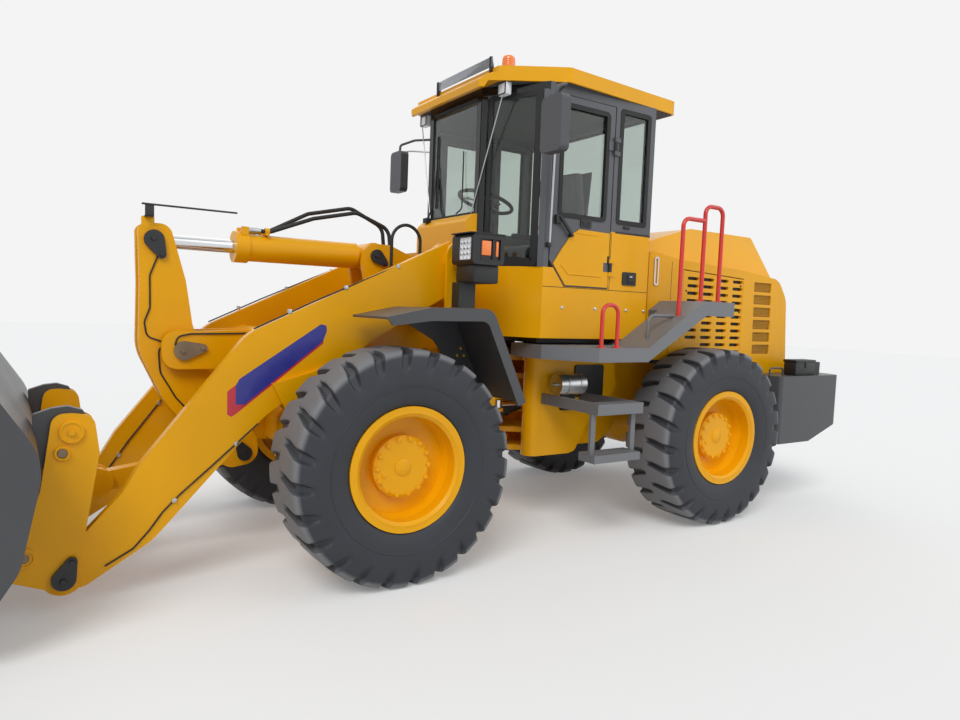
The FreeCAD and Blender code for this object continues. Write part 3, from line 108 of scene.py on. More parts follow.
class LoaderTrim(bpy.types.PropertyGroup):
    """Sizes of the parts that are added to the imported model"""
    lug_depth: length_property("Lug Depth", "Depth of the tyre tread grooves", 0.031, 0.01, 0.04)
    groove_width: length_property("Groove Width", "Half the width of a tread groove", 0.028, 0.008, 0.04)
    hub_bolt: length_property("Hub Bolt", "Size across the flats of the hub bolts", 0.022, 0.01, 0.04)
    wire_pitch: length_property("Mesh Pitch", "Spacing of the wires in the hood vents", 0.012, 0.006, 0.03)
    grease_line: length_property("Grease Line", "Radius of the grease lines", 0.0045, 0.002, 0.01)
    lugs: bpy.props.IntProperty(
        name="Lugs", description="Tread lugs on each side of a tyre", default=24, min=12, max=48)


def paint():
    return bpy.context.scene.loader_paint


def trim():
    return bpy.context.scene.loader_trim


# Materials

def add(tree, kind, settings=None, links=None):
    """Add one node, set its sockets or properties by name, and link its inputs."""
    made = tree.nodes.new(kind)
    for key, value in (settings or {}).items():
        if key in made.inputs:
            made.inputs[key].default_value = value
        else:
            setattr(made, key, value)
    for key, source in (links or {}).items():
        tree.links.new(source, made.inputs[key])
    return made


def new_material(name):
    """A material with an empty tree."""
    material = bpy.data.materials.new(name)
    material.use_nodes = True
    material.node_tree.nodes.clear()
    return material, material.node_tree


def close_tree(tree, sockets, links=None):
    """The shader at the end of a material's tree, and its output."""
    shader = add(tree, "ShaderNodeBsdfPrincipled", sockets, links)
    add(tree, "ShaderNodeOutputMaterial", links={"Surface": shader.outputs["BSDF"]})


def surface(name, base, roughness, sockets, grain_mm, relief_mm, patch_m=0.6, spread=0.05, gloss=0.06, lug_top_dust_and_sheen=None):
    """A finish with two close tones in soft patches and a relief of a real grain size.

    Where a lug-top colour is given, faces marked as the top of a tread take that colour: dust with a painted
    highlight.
    """
    material, tree = new_material(name)
    place = add(tree, "ShaderNodeTexCoord").outputs["Object"]
    patches = add(tree, "ShaderNodeTexNoise", {"Scale": 1 / patch_m, "Detail": 5.0, "Roughness": 0.55},
                  {"Vector": place}).outputs["Fac"]
    ramp = add(tree, "ShaderNodeValToRGB", links={"Fac": patches})
    for stop, position, factor in zip(ramp.color_ramp.elements, (0.35, 0.65), (1 - spread, 1 + spread)):
        stop.position = position
        stop.color = tuple(min(c * factor, 1.0) for c in base[:3]) + (1.0,)
    tone = ramp.outputs["Color"]
    # Lug tops take a paler grey: dust with a painted highlight.
    if lug_top_dust_and_sheen:
        mark = add(tree, "ShaderNodeAttribute", {"attribute_name": "tread"})
        mix = add(tree, "ShaderNodeMix", {"data_type": "RGBA"}, {0: mark.outputs["Fac"], 6: tone})
        mix.inputs[7].default_value = colour(lug_top_dust_and_sheen)
        tone = mix.outputs[2]
    rough = add(tree, "ShaderNodeMapRange", {
        "From Min": 0.3, "From Max": 0.7, "To Min": roughness - gloss, "To Max": roughness + gloss},
        {"Value": patches})
    grain = add(tree, "ShaderNodeTexNoise", {"Scale": 1000 / grain_mm, "Detail": 2.0}, {"Vector": place})
    bump = add(tree, "ShaderNodeBump", {"Strength": 0.35, "Distance": relief_mm / 1000},
               {"Height": grain.outputs["Fac"]})
    close_tree(tree, sockets, {
        "Base Color": tone, "Roughness": rough.outputs["Result"], "Normal": bump.outputs["Normal"]})
    return material


def lens(name, base, glow):
    """Moulded polycarbonate lens with fine prisms inside, which turn some light back."""
    material, tree = new_material(name)
    place = add(tree, "ShaderNodeTexCoord").outputs["Object"]
    prisms = add(tree, "ShaderNodeTexWave", {"Scale": 22.0, "Distortion": 0.0, "bands_direction": "Z"},
                 {"Vector": place})
    bump = add(tree, "ShaderNodeBump", {"Strength": 0.3, "Distance": 0.002}, {"Height": prisms.outputs["Fac"]})
    close_tree(tree, {
        "Base Color": base, "Roughness": 0.14, "IOR": 1.58, "Coat Weight": 0.6, "Coat Roughness": 0.05,
        "Emission Color": base, "Emission Strength": glow}, {"Normal": bump.outputs["Normal"]})
    return material


def clear_sheet(name, base, roughness, ior, clearness):
    """A flat see-through sheet."""
    material, tree = new_material(name)
    close_tree(tree, {
        "Base Color": base, "Roughness": roughness, "IOR": ior, "Transmission Weight": clearness})
    return material


def coat(weight, roughness):
    """Sockets of a clear coat."""
    return {"Coat Weight": weight, "Coat Roughness": roughness}


METAL = {"Metallic": 1.0}

# Each finish: the record's slot for pieces in it, the function that makes it, the material's name, its colour as
# a paint property or hex value, and the rest of what that function takes. For a surface that is the roughness,
# shader sockets, grain and relief in mm, then the size of its patches in m and the spread of tone and gloss.
FINISHES = {
    # Sprayed alkyd enamel over steel: even gloss with the slight orange peel of a spray gun.
    "yellow_enamel": ("paint_yellow", surface, "yellow_sprayed_enamel", "body", 0.34,
                      {"Specular IOR Level": 0.25, **coat(0.1, 0.12)}, 14, 0.05),
    # Satin grey enamel of the cab posts and doors, a little duller than the yellow.
    "grey_enamel": ("paint_grey", surface, "grey_satin_enamel", "cab", 0.42, coat(0.15, 0.25), 12, 0.05),
    # Satin enamel of the platforms and steps, the cab's grey made paler as painted light for their lit tops.
    "deck_enamel": ("paint_grey", surface, "deck_satin_enamel", "deck", 0.45, coat(0.15, 0.25), 12, 0.05),
    # Dark grey satin enamel of the fenders, counterweight and bucket.
    "dark_enamel": ("paint_dark", surface, "dark_satin_enamel", "dark", 0.45, coat(0.12, 0.3), 12, 0.06),
    # Bright red gloss enamel of the handrails.
    "red_enamel": ("paint_red", surface, "red_gloss_enamel", "rail", 0.3, coat(0.3, 0.15), 10, 0.04),
    # Carbon-black tyre compound as moulded, satin; the blue tint of the flanks is a painted reflection of the
    # sky, and the paler grey of the lug tops is dust with a painted highlight.
    "tyre_rubber": ("tyre", surface, "moulded_tyre_rubber", "2F3238", 0.58, {"Specular IOR Level": 0.45},
                    6, 0.25, 0.25, 0.12, 0.06, "767678"),
    # Injection-moulded black polypropylene with a fine spark-eroded grain.
    "black_plastic": ("lamp", surface, "moulded_black_plastic", "1C1D1F", 0.48, {}, 2.5, 0.05),
    # Grey-black moulded mirror shell, matt from its coarse tool grain.
    "mirror_plastic": ("mirror_shell", surface, "moulded_grey_plastic", "4C4D51", 0.5, {}, 3, 0.05),
    # Extruded EPDM glazing seal: black and matt, ribbed finer than the render shows.
    "rubber_seal": ("hose", surface, "extruded_rubber_seal", "121315", 0.6, {}, 3, 0.05),
    # Wrapped hydraulic hose: dull black with the cloth mark of its curing wrap.
    "hose_rubber": ("hose", surface, "cloth_wrapped_hose_rubber", "191A1C", 0.62, {}, 3, 0.25, 0.2),
    # Engine castings painted dark grey over a rough sand-cast skin.
    "cast_iron": ("cast_steel", surface, "sand_cast_iron", "404342", 0.6, {}, 5, 0.3, 0.6, 0.12),
    # Hard-chromed and ground piston rod: mirror bright.
    "chrome_rod": ("alloy", surface, "ground_hard_chrome", "DDDFE1", 0.12, METAL, 3, 0.005, 0.6, 0.05, 0.03),
    # Zinc-plated fittings, pipes and bolts: pale, slightly clouded.
    "plated_steel": ("alloy", surface, "zinc_plated_steel", "B9BCBE", 0.33, METAL, 2, 0.02, 0.05),
    # Phosphated keeper plates and bolts: nearly black with a dull sheen.
    "black_steel": ("cast_steel", surface, "phosphated_steel", "3A3B3D", 0.45, {"Metallic": 0.6}, 3, 0.05, 0.08),
    # Fired black ceramic band along the edges of the cab glass: glossy like the glass over it.
    "black_frit": ("lamp", surface, "fired_ceramic_frit", "17191B", 0.12, {}, 30, 0.005, 0.6, 0.05, 0.02),
    # Bare pins and keepers: brownish mill scale with greyer rubbed patches.
    "worn_steel": ("cast_steel", surface, "rolled_wear_steel", "85745F", 0.5, {"Metallic": 0.35}, 8, 0.15,
                   0.15, 0.15),
    # Drawn aluminium of the brake canister and the hood's handles.
    "bare_aluminium": ("alloy", surface, "drawn_aluminium", "C9CBCD", 0.32, METAL, 2, 0.01),
    # Silvered mirror glass.
    "mirror_glass": ("glass", surface, "silvered_glass", "E8EAEC", 0.05, METAL, 50, 0.001, 0.6, 0.05, 0.01),
    # Needled felt headliner inside the cab; where it runs out under the roof's overhang, its dark tone is painted
    # shade.
    "headliner": ("seat_cover", surface, "needled_felt", "222326", 0.9, {"Sheen Weight": 0.2}, 2, 0.2, 0.1),
    # Leathercloth seat cover: black-green, embossed with a 3 mm hide grain.
    "seat_vinyl": ("seat_cover", surface, "embossed_seat_leathercloth", "1F2A2B", 0.45, {"Sheen Weight": 0.1},
                   3, 0.25, 0.15, 0.12),
    # Cast vinyl film, smooth and semi-gloss, in plain blue.
    "blue_film": ("paint_yellow", surface, "blue_vinyl_film", "film", 0.28, coat(0.4, 0.1), 40, 0.01),
    # The same film in plain red.
    "red_film": ("paint_yellow", surface, "red_vinyl_film", "film_edge", 0.28, coat(0.4, 0.1), 40, 0.01),
    # Amber polycarbonate, bright from the light that its prisms turn back.
    "amber_lens": ("lamp", lens, "amber_polycarbonate", "amber", 0.12),
    # Red polycarbonate of the tail lamps.
    "red_lens": ("lamp", lens, "red_polycarbonate", "B5121B", 0.05),
    # Clear polycarbonate over a bright reflector.
    "clear_lens": ("lamp", lens, "clear_polycarbonate", "DCE0E4", 0.12),
    # Smoke-tinted acrylic of the rain visor: half clear and glossy.
    "smoked_panel": ("glass", clear_sheet, "smoked_acrylic", "9AA0A6", 0.12, 1.49, 0.55),
    # Tempered green-tinted safety glass.
    "cab_glass": ("glass", clear_sheet, "tinted_safety_glass", "CFD8D3", 0.02, 1.45, 1.0),
}
MATERIALS = {}


def finish_of(name):
    """The material of a finish, made the first time it is asked for."""
    if name not in MATERIALS:
        make, title, tone, *rest = FINISHES[name][1:]
        base = tuple(getattr(paint(), tone)) if hasattr(paint(), tone) else colour(tone)
        MATERIALS[name] = make(title, base, *rest)
    return MATERIALS[name]


# Mesh tools. They take millimetres; mesh_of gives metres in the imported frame.

def mesh_of(name, build, local=False):
    """A closed mesh made by a function that fills a bmesh; a local one stays about its own origin."""
    work = bmesh.new()
    build(work)
    bmesh.ops.remove_doubles(work, verts=work.verts, dist=0.001)
    bmesh.ops.recalc_face_normals(work, faces=work.faces)
    shift = Matrix.Scale(0.001, 4) @ Matrix.Translation((0 if local else -MIDDLE, 0, 0))
    bmesh.ops.transform(work, matrix=shift, verts=work.verts)
    mesh = bpy.data.meshes.new(name)
    work.to_mesh(mesh)
    work.free()
    return mesh


def add_box(work, low, high, bevel=0.0):
    """A box between two corners, its edges rounded by the bevel."""
    made = bmesh.ops.create_cube(work, size=1.0)["verts"]
    for vert in made:
        vert.co = Vector([(low[i] + high[i]) / 2 + vert.co[i] * abs(high[i] - low[i]) for i in range(3)])
    if bevel:
        edges = list({edge for vert in made for edge in vert.link_edges})
        bmesh.ops.bevel(work, geom=edges, offset=bevel, segments=2, profile=0.5, affect="EDGES")


def across(axis):
    """Two unit vectors square to an axis."""
    side = axis.orthogonal().normalized() if abs(axis.z) > 0.9 else Vector(UP).cross(axis).normalized()
    return side, axis.cross(side)


def band(work, a, b, closed=True):
    """Faces between two rows of as many points."""
    for i in range(len(a) if closed else len(a) - 1):
        j = (i + 1) % len(a)
        work.faces.new((a[i], a[j], b[j], b[i]))


def add_lathe(work, profile, centre, axis, segments=48):
    """Turn an open profile of (radius, along) pairs about an axis; its ends lie on the axis or meet."""
    origin, axis = Vector(centre), Vector(axis).normalized()
    side, up = across(axis)
    rings = []
    for radius, along in profile:
        steps = range(segments) if radius else [0]
        rings.append([work.verts.new(
            origin + axis * along + (side * math.cos(a) + up * math.sin(a)) * radius)
            for a in (2 * math.pi * i / segments for i in steps)])
    for a, b in zip(rings, rings[1:]):
        for i in range(segments):
            j = (i + 1) % segments
            corners = []
            for vert in (a[i % len(a)], a[j % len(a)], b[j % len(b)], b[i % len(b)]):
                if vert not in corners:
                    corners.append(vert)
            if len(corners) > 2:
                work.faces.new(corners)


def sleeve(inner, outer, half):
    """Profile of a plain ring or tube."""
    return [(inner, -half), (outer, -half), (outer, half), (inner, half), (inner, -half)]


def add_rod(work, start, end, radius, segments=16):
    """A plain round bar between two points."""
    run = Vector(end) - Vector(start)
    length, edge = run.length, min(1.5, radius / 3)
    profile = [(0, 0), (radius - edge, 0), (radius, edge), (radius, length - edge), (radius - edge, length),
               (0, length)]
    add_lathe(work, profile, start, run, segments)


def corner_curve(before, here, after, radius, share, steps):
    """Points that round a corner, starting within a share of the runs beside it."""
    u, w = (before - here).normalized(), (after - here).normalized()
    back = min(radius / math.tan(u.angle(w) / 2), share * (before - here).length, share * (after - here).length)
    a, b = here + u * back, here + w * back
    return [a.lerp(here, t).lerp(here.lerp(b, t), t) for t in (i / steps for i in range(steps + 1))]


def add_tube(work, points, radius, bend=40, segments=12):
    """A bent pipe along a route, with a curve at each inner corner."""
    points = [Vector(p) for p in points]
    route = [points[0]]
    for before, here, after in zip(points, points[1:], points[2:]):
        route.extend(corner_curve(before, here, after, bend, 0.48, 6))
    route.append(points[-1])
    side = None
    rings = []
    for i, here in enumerate(route):
        ahead = (route[min(i + 1, len(route) - 1)] - route[max(i - 1, 0)]).normalized()
        side = across(ahead)[0] if side is None else (side - ahead * side.dot(ahead)).normalized()
        up = ahead.cross(side)
        rings.append([work.verts.new(here + (side * math.cos(a) + up * math.sin(a)) * radius)
                      for a in (2 * math.pi * k / segments for k in range(segments))])
    for a, b in zip(rings, rings[1:]):
        band(work, a, b)
    work.faces.new(rings[0])
    work.faces.new(rings[-1])


def rounded_loop(corners, radius):
    """A closed loop with each corner rounded."""
    points = []
    for before, here, after in zip(corners[-1:] + corners, corners, corners[1:] + corners[:1]):
        points.extend(corner_curve(before, here, after, radius, 0.45, 5))
    return points


def inset_loop(corners, inset):
    """A convex loop moved inward."""
    middle = sum(corners, Vector()) / len(corners)
    moved = []
    for before, here, after in zip(corners[-1:] + corners, corners, corners[1:] + corners[:1]):
        u, w = (before - here).normalized(), (after - here).normalized()
        way = (u + w).normalized()
        if way.dot(middle - here) < 0:
            way.negate()
        moved.append(here + way * inset / math.sin(u.angle(w) / 2))
    return moved


def add_slab(work, corners, out, radius=0.0, rim=0.0):
    """A flat plate on its corners, as thick as the vector out; a rim makes it a frame of that width."""
    corners = [Vector(c) for c in corners]
    loops = [corners, inset_loop(corners, rim)] if rim else [corners]
    if radius:
        loops = [rounded_loop(loop, max(radius - rim * i, 6)) for i, loop in enumerate(loops)]
    levels = [[[work.verts.new(p + Vector(out) * level) for p in loop] for loop in loops] for level in (0, 1)]
    for low, high in zip(*levels):
        band(work, low, high)
    for level in levels:
        if rim:
            band(work, *level)
        else:
            work.faces.new(level[0])


def side_points(points, y):
    """Points of (x, z) pairs on a plane y."""
    return [(x, y, z) for x, z in points]


def side_rect(x0, z0, x1, z1, y):
    """Corners of a rectangle that faces sideways."""
    return side_points([(x0, z0), (x0, z1), (x1, z1), (x1, z0)], y)


def front_rect(y0, z0, y1, z1, x):
    """Corners of a rectangle that faces forward."""
    return [(x, y0, z0), (x, y0, z1), (x, y1, z1), (x, y1, z0)]


def add_bolt(work, place, axis, size):
    """A hexagon bolt head on its washer."""
    height = size * 0.42
    add_lathe(work, [(0, -1), (size * 0.72, -1), (size * 0.72, 2.5), (0, 2.5)], place, axis, 20)
    foot = Vector(place) + Vector(axis).normalized() * 2
    r = size / 2 / math.cos(math.pi / 6)
    add_lathe(work, [(0, 0), (r, 0), (r, height - 1.5), (r - 1.5, height), (0, height)], foot, axis, 6)


# Repeats by Geometry Nodes

def repeat_tree(kind):
    """Node group that repeats its mesh on a ring about Z, or along a row."""
    name = "repeat_" + kind
    if name in bpy.data.node_groups:
        return bpy.data.node_groups[name]
    tree = bpy.data.node_groups.new(name, "GeometryNodeTree")
    sockets = [("Mesh", "Geometry"), ("Count", "Int"), ("Material", "Material"),
               ("Radius", "Float") if kind == "ring" else ("Step", "Vector")]
    for label, form in sockets:
        tree.interface.new_socket(label, in_out="INPUT", socket_type="NodeSocket" + form)
    tree.interface.new_socket("Mesh", in_out="OUTPUT", socket_type="NodeSocketGeometry")
    given = add(tree, "NodeGroupInput").outputs
    turn = {}
    if kind == "ring":
        spots = add(tree, "GeometryNodeMeshCircle", links={
            "Vertices": given["Count"], "Radius": given["Radius"]})
        share = add(tree, "ShaderNodeMath", {"operation": "DIVIDE"}, {1: given["Count"]})
        share.inputs[0].default_value = 2 * math.pi
        index = add(tree, "GeometryNodeInputIndex").outputs["Index"]
        angle = add(tree, "ShaderNodeMath", {"operation": "MULTIPLY"}, {0: index, 1: share.outputs[0]})
        turned = add(tree, "FunctionNodeAxisAngleToRotation", {"Axis": UP}, {"Angle": angle.outputs[0]})
        turn["Rotation"] = turned.outputs["Rotation"]
    else:
        spots = add(tree, "GeometryNodeMeshLine", links={"Count": given["Count"], "Offset": given["Step"]})
    copies = add(tree, "GeometryNodeInstanceOnPoints", links={
        "Points": spots.outputs["Mesh"], "Instance": given["Mesh"], **turn})
    real = add(tree, "GeometryNodeRealizeInstances", links={"Geometry": copies.outputs["Instances"]})
    dressed = add(tree, "GeometryNodeSetMaterial", links={
        "Geometry": real.outputs["Geometry"], "Material": given["Material"]})
    add(tree, "NodeGroupOutput", links={"Mesh": dressed.outputs["Geometry"]})
    return tree


def repeated(mesh, kind, count, spacing, finish):
    """A mesh repeated on a ring of a radius about Z, or in a row by a step, both in millimetres."""
    tree = repeat_tree(kind)
    host = bpy.data.objects.new("host", mesh)
    bpy.context.scene.collection.objects.link(host)
    work = host.modifiers.new("repeat", "NODES")
    work.node_group = tree
    keys = {item.name: item.identifier for item in tree.interface.items_tree if item.in_out == "INPUT"}
    work[keys["Count"]] = count
    work[keys["Material"]] = finish_of(finish)
    if kind == "ring":
        work[keys["Radius"]] = float(spacing) / 1000
    else:
        work[keys["Step"]] = [c / 1000 for c in spacing]
    bpy.context.view_layer.update()
    made = bpy.data.meshes.new_from_object(host.evaluated_get(bpy.context.evaluated_depsgraph_get()))
    host.modifiers.clear()
    bpy.data.objects.remove(host)
    return made


def grid_of(mesh, finish, *rows):
    """A mesh repeated in a row, and that row again, each by a count and a step."""
    for count, step in rows:
        mesh = repeated(mesh, "row", count, step, finish)
    return mesh


# Placing and naming

def placed(mesh, matrix):
    """A copy of a mesh moved by a matrix in metres; a mirroring one keeps its faces outward."""
    work = bmesh.new()
    work.from_mesh(mesh)
    bmesh.ops.transform(work, matrix=matrix, verts=work.verts)
    if matrix.determinant() < 0:
        bmesh.ops.reverse_faces(work, faces=work.faces)
    bmesh.ops.remove_doubles(work, verts=work.verts, dist=1e-5)
    copy = bpy.data.meshes.new(mesh.name)
    work.to_mesh(copy)
    work.free()
    return copy


def spot(x, y, z):
    """Matrix that moves a local mesh to a machine point."""
    return Matrix.Translation(((x - MIDDLE) / 1000, y / 1000, z / 1000))


MIRROR = Matrix.Scale(-1, 4, LEFT)
OUTWARD = Matrix.Rotation(math.radians(-90), 4, "X")  # turns a local Z axis to the left side


def wheels(face=0):
    """Each wheel's name, and the matrix that puts a mesh about Z on it, a face outside its middle plane."""
    for end, x in (("front", WHEEL_X), ("rear", -WHEEL_X)):
        turn = spot(x, WHEEL_Y + face, TYRE_R) @ OUTWARD
        yield end + "_left", turn
        yield end + "_right", MIRROR @ turn


def joined(name, meshes):
    """Several meshes as one."""
    work = bmesh.new()
    for mesh in meshes:
        work.from_mesh(mesh)
    whole = bpy.data.meshes.new(name)
    work.to_mesh(whole)
    work.free()
    return whole


def piece(name, mesh, finish, body, slot=None, smooth=40):
    """A finished object with its material, moving with a body of the machine."""
    mesh.name = name
    thing = bpy.data.objects.new(name, mesh)
    bpy.context.scene.collection.objects.link(thing)
    mesh.materials.clear()
    mesh.materials.append(finish_of(finish))
    mesh.polygons.foreach_set("material_index", [0] * len(mesh.polygons))
    mesh.polygons.foreach_set("use_smooth", [True] * len(mesh.polygons))
    mesh.set_sharp_from_angle(angle=math.radians(smooth))
    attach(thing, body)
    return thing


def both_sides(name, mesh, finish, body, slot=None):
    """A left-hand mesh with its right-hand twin: one piece on one body, or one on each of a pair of bodies."""
    twin = placed(mesh, MIRROR)
    if body.endswith("_"):
        piece(name + "_left", mesh, finish, body + "left", slot)
        return piece(name + "_right", twin, finish, body + "right", slot)
    return piece(name, joined(name, [mesh, twin]), finish, body, slot)


def fit(place, body, *rows):
    """Pieces on one body, by piece or both_sides: each row has the function that fills the mesh, which the piece
    is named after, then the finish, and a slot where it isn't the finish's own. Gives the last one made."""
    for build, *look in rows:
        made = place(build.__name__, mesh_of(build.__name__, build), look[0], body, *look[1:])
    return made


# Wheels

# Rows of half a tyre: radius, half width, groove depth share, groove width share, groove shift in mm
TYRE_ROWS = [
    (674, 0, 0, 0, 0), (674, 10, 0, 0, 0), (673.5, 24, 0.8, 0.55, 0), (673.2, 50, 1, 0.75, 2),
    (673, 80, 1, 0.85, 7),
    (672.5, 110, 1, 0.95, 14), (671.5, 140, 1, 1, 22), (670, 168, 1, 1.05, 30), (667, 184, 1, 1.1, 34),
    (662, 194, 1, 1.15, 37), (650, 202, 0.95, 1.2, 41), (628, 209, 0.85, 1.2, 48), (604, 214, 0.66, 1.12, 55),
    (580, 217, 0.42, 0.95, 62), (562, 218.5, 0.2, 0.65, 66), (548, 219.5, 0, 0, 68), (505, 222, 0, 0, 0),
    (480, 221, 0, 0, 0), (474, 220, 0, 0, 0),
    (472, 222.4, 0, 0, 0), (467, 222.2, 0, 0, 0), (464, 219.4, 0, 0, 0), (440, 217, 0, 0, 0), (412, 212, 0, 0, 0),
    (385, 203, 0, 0, 0), (364, 192, 0, 0, 0), (357.5, 183, 0, 0, 0), (356.3, 179.5, 0, 0, 0),
    (335, 179.2, 0, 0, 0),
    (318.6, 178.5, 0, 0, 0), (318.6, 0, 0, 0, 0)]


def add_tread_pitch(work, side):
    """One lug and the groove halves beside it, from the middle of the tread to the bead, about Z."""
    looks = trim()
    pitch = 2 * math.pi / looks.lugs
    depth, width = looks.lug_depth * 1000, looks.groove_width * 1000
    stagger = 0.0 if side > 0 else pitch / 2
    mark = work.verts.layers.float.get("tread") or work.verts.layers.float.new("tread")
    rows = []
    for n, (r, y, deep, wide, shift) in enumerate(TYRE_ROWS):
        r0, y0 = TYRE_ROWS[max(n - 1, 0)][:2]
        r1, y1 = TYRE_ROWS[min(n + 1, len(TYRE_ROWS) - 1)][:2]
        run = math.hypot(r1 - r0, y1 - y0)
        inward = ((y0 - y1) / run, (r1 - r0) / run)
        half = width * wide / r
        if wide:
            edges = [0, half * 0.58, half * 0.96, half + 6 / r]
            drops = [1, 1, 0.12, 0]
            inner = [edges[-1] + (pitch - 2 * edges[-1]) * k / 6 for k in range(1, 6)]
            angles = edges + inner + [pitch - e for e in reversed(edges)]
            levels = drops + [0] * 5 + drops[::-1]
        else:
            angles = [pitch * k / 12 for k in range(13)]
            levels = [0] * 13
        row = []
        for angle, level in zip(angles, levels):
            sunk = level * deep * depth
            rr, yy = r + inward[0] * sunk, y + inward[1] * sunk
            a = angle + stagger + shift / TYRE_R
            vert = work.verts.new((rr * math.cos(a), rr * math.sin(a), side * yy))
            # Lug tops 1, groove floors 0.2, flanks 0: the share of the paler grey, dust with a painted highlight.
            vert[mark] = 0.0 if r < 640 else 1.0 if level == 0 else 0.2
            row.append(vert)
        rows.append(row)
    for a, b in zip(rows, rows[1:]):
        for k in range(12):
            work.faces.new((a[k], a[k + 1], b[k + 1], b[k]))


class LOADER_OT_tyres(bpy.types.Operator):
    """Moulded tyres with staggered lugs, in place of the plain ones"""
    bl_idname = "loader.tyres"
    bl_label = "Mould the Tyres"

    def execute(self, context):
        def pitch(work):
            for side in (1, -1):
                add_tread_pitch(work, side)

        whole = repeated(mesh_of("lug", pitch, local=True), "ring", trim().lugs, 0, "tyre_rubber")
        for wheel, place in wheels():
            name = "tyre_" + wheel
            tyre = piece("moulded_" + name, placed(whole, place), "tyre_rubber", "wheel_" + wheel, smooth=34)
            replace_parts(tyre, name)
        return {"FINISHED"}


HUB_BOLTS = 14
BOLT_CIRCLE = 160


def hub_boss(work):
    add_lathe(work, [(0, -2), (50, -2), (50, 5), (46, 8), (0, 8)], (0, 0, 0), UP, 40)
    add_lathe(work, [(0, 0), (11, 0), (11, 8), (9, 10), (0, 10)], (118, 40, 0), UP, 6)
    add_lathe(work, [(318, 48), (330, 44), (334, 47), (334, 52), (322, 56), (318, 56), (318, 48)], (0, 0, 32),
              UP, 96)


def valve(work):
    add_tube(work, [(268, 60, -50), (268, 60, 0), (285, 64, 30)], 5, 14)
    add_rod(work, (284, 63.8, 28), (294, 66, 45), 7)


class LOADER_OT_hubs(bpy.types.Operator):
    """Ring of bolts, boss and plug on each hub, and the valve stem"""
    bl_idname = "loader.hubs"
    bl_label = "Fit the Hub Bolts"

    def execute(self, context):
        size = trim().hub_bolt * 1000
        bolt = mesh_of("bolt", lambda work: add_bolt(work, (0, 0, 0), UP, size), local=True)
        bolts = repeated(bolt, "ring", HUB_BOLTS, BOLT_CIRCLE, "yellow_enamel")
        hub = joined("hub", [bolts, mesh_of("boss", hub_boss, local=True)])
        stem = mesh_of("valve", valve, local=True)
        for wheel, place in wheels(HUB_FACE):
            piece("hub_bolts_" + wheel, placed(hub, place), "yellow_enamel", "wheel_" + wheel)
            piece("valve_" + wheel, placed(stem, place), "plated_steel", "wheel_" + wheel, "paint_yellow")
        return {"FINISHED"}


# Cab

DOOR_PANEL = [(-366, 1767), (-366, 2150), (-84, 2154), (-15, 2112), (74, 1996), (136, 1905), (24, 1767)]


def door_panel(work):
    add_slab(work, side_points(DOOR_PANEL, CAB_FACE - 1), (0, 9, 0), 10)
    add_tube(work, [(72, 788, 1903), (4, 788, 1843), (-288, 788, 1841)], 5, 20)
    add_tube(work, [(-52, 788, 2126), (-252, 788, 2124)], 4)


def door_handle(work):
    add_box(work, (92, 779, 2172), (138, 806, 2232), 5)
    add_slab(work, [(118, 800, 2222), (98, 800, 2228), (-16, 800, 2104), (-4, 800, 2090)], (0, 14, 0), 7)
    add_box(work, (-14, 779, 2094), (8, 802, 2116), 4)
    add_slab(work, side_rect(-190, 2168, -92, 2228, CAB_FACE - 1), (0, 8, 0), 10)
    add_slab(work, side_rect(-172, 2184, -110, 2212, CAB_FACE), (0, 10, 0), 8, 6)
    for z in (1910, 2760):
        add_lathe(work, sleeve(12.2, 15, 31), (-378, 792, z), UP, 20)
    add_box(work, (-372, 779, 1925), (-352, 794, 1990), 3)


def door_seal(work):
    add_slab(work, side_rect(-328, 2222, 113, 2985, CAB_FACE - 0.5), (0, 5, 0), 45, 32)
    add_slab(work, side_rect(-308, 2245, 95, 2965, CAB_FACE - 17), (0, 15, 0), 30, 9)


class LOADER_OT_doors(bpy.types.Operator):
    """Raised panels, handles, latches, hinge covers and window seals of both doors"""
    bl_idname = "loader.doors"
    bl_label = "Trim the Doors"

    def execute(self, context):
        fit(both_sides, "cab_door_", (door_panel, "yellow_enamel"), (door_handle, "black_plastic"),
            (door_seal, "rubber_seal"))
        return {"FINISHED"}


def corner_glass(t, out, z):
    """A point on the slanted front side pane: share of its length from the front, and distance outward."""
    start, end = Vector((438, 398, 0)), Vector((253, 742, 0))
    along = end - start
    outward = Vector((along.y, -along.x, 0)).normalized()
    return start + along * t + outward * out + Vector((0, 0, z))


def corner_plate(work, corners, thick, radius=0.0, rim=0.0):
    """A slab on the slanted front side pane."""
    out = corner_glass(0, thick, 0) - corner_glass(0, 0, 0)
    add_slab(work, [corner_glass(t, -6, z) for t, z in corners], out, radius, rim)


def side_window_seals(work):
    add_slab(work, side_rect(-728, 2222, -424, 3034, CAB_FACE - 0.5), (0, 4, 0), 30, 34)
    add_slab(work, side_rect(-716, 2236, -438, 3036, CAB_FACE - 9), (0, 7, 0), 10, 8)
    corner_plate(work, ((-0.02, 1884), (-0.02, 3040), (1.02, 3040), (1.02, 1884)), 4, 50, 34)
    corner_plate(work, ((-0.02, 1882), (-0.02, 1960), (1.02, 1930), (1.02, 1882)), 3)
    corner_plate(work, ((0.88, 1882), (0.88, 3036), (1.02, 3036), (1.02, 1882)), 3)


def screen_seals_and_wipers(work):
    add_slab(work, front_rect(-318, 2238, 318, 3040, 471), (4, 0, 0), 30, 24)
    add_slab(work, front_rect(-724, 2240, 724, 3040, -768), (-3, 0, 0), 30, 30)
    add_box(work, (528, -268, 2215), (574, -214, 2252), 6)
    add_tube(work, [(550, -240, 2246), (506, -236, 2330), (487, -236, 2560)], 6, 60)
    add_tube(work, [(556, -228, 2246), (510, -220, 2350), (486, -228, 2640)], 3.5, 60)
    add_box(work, (474, -242, 2330), (484, -232, 2870), 2)
    add_tube(work, [(560, 200, 2246), (500, 176, 2290), (484, 150, 2480), (480, 142, 2700)], 5, 50)


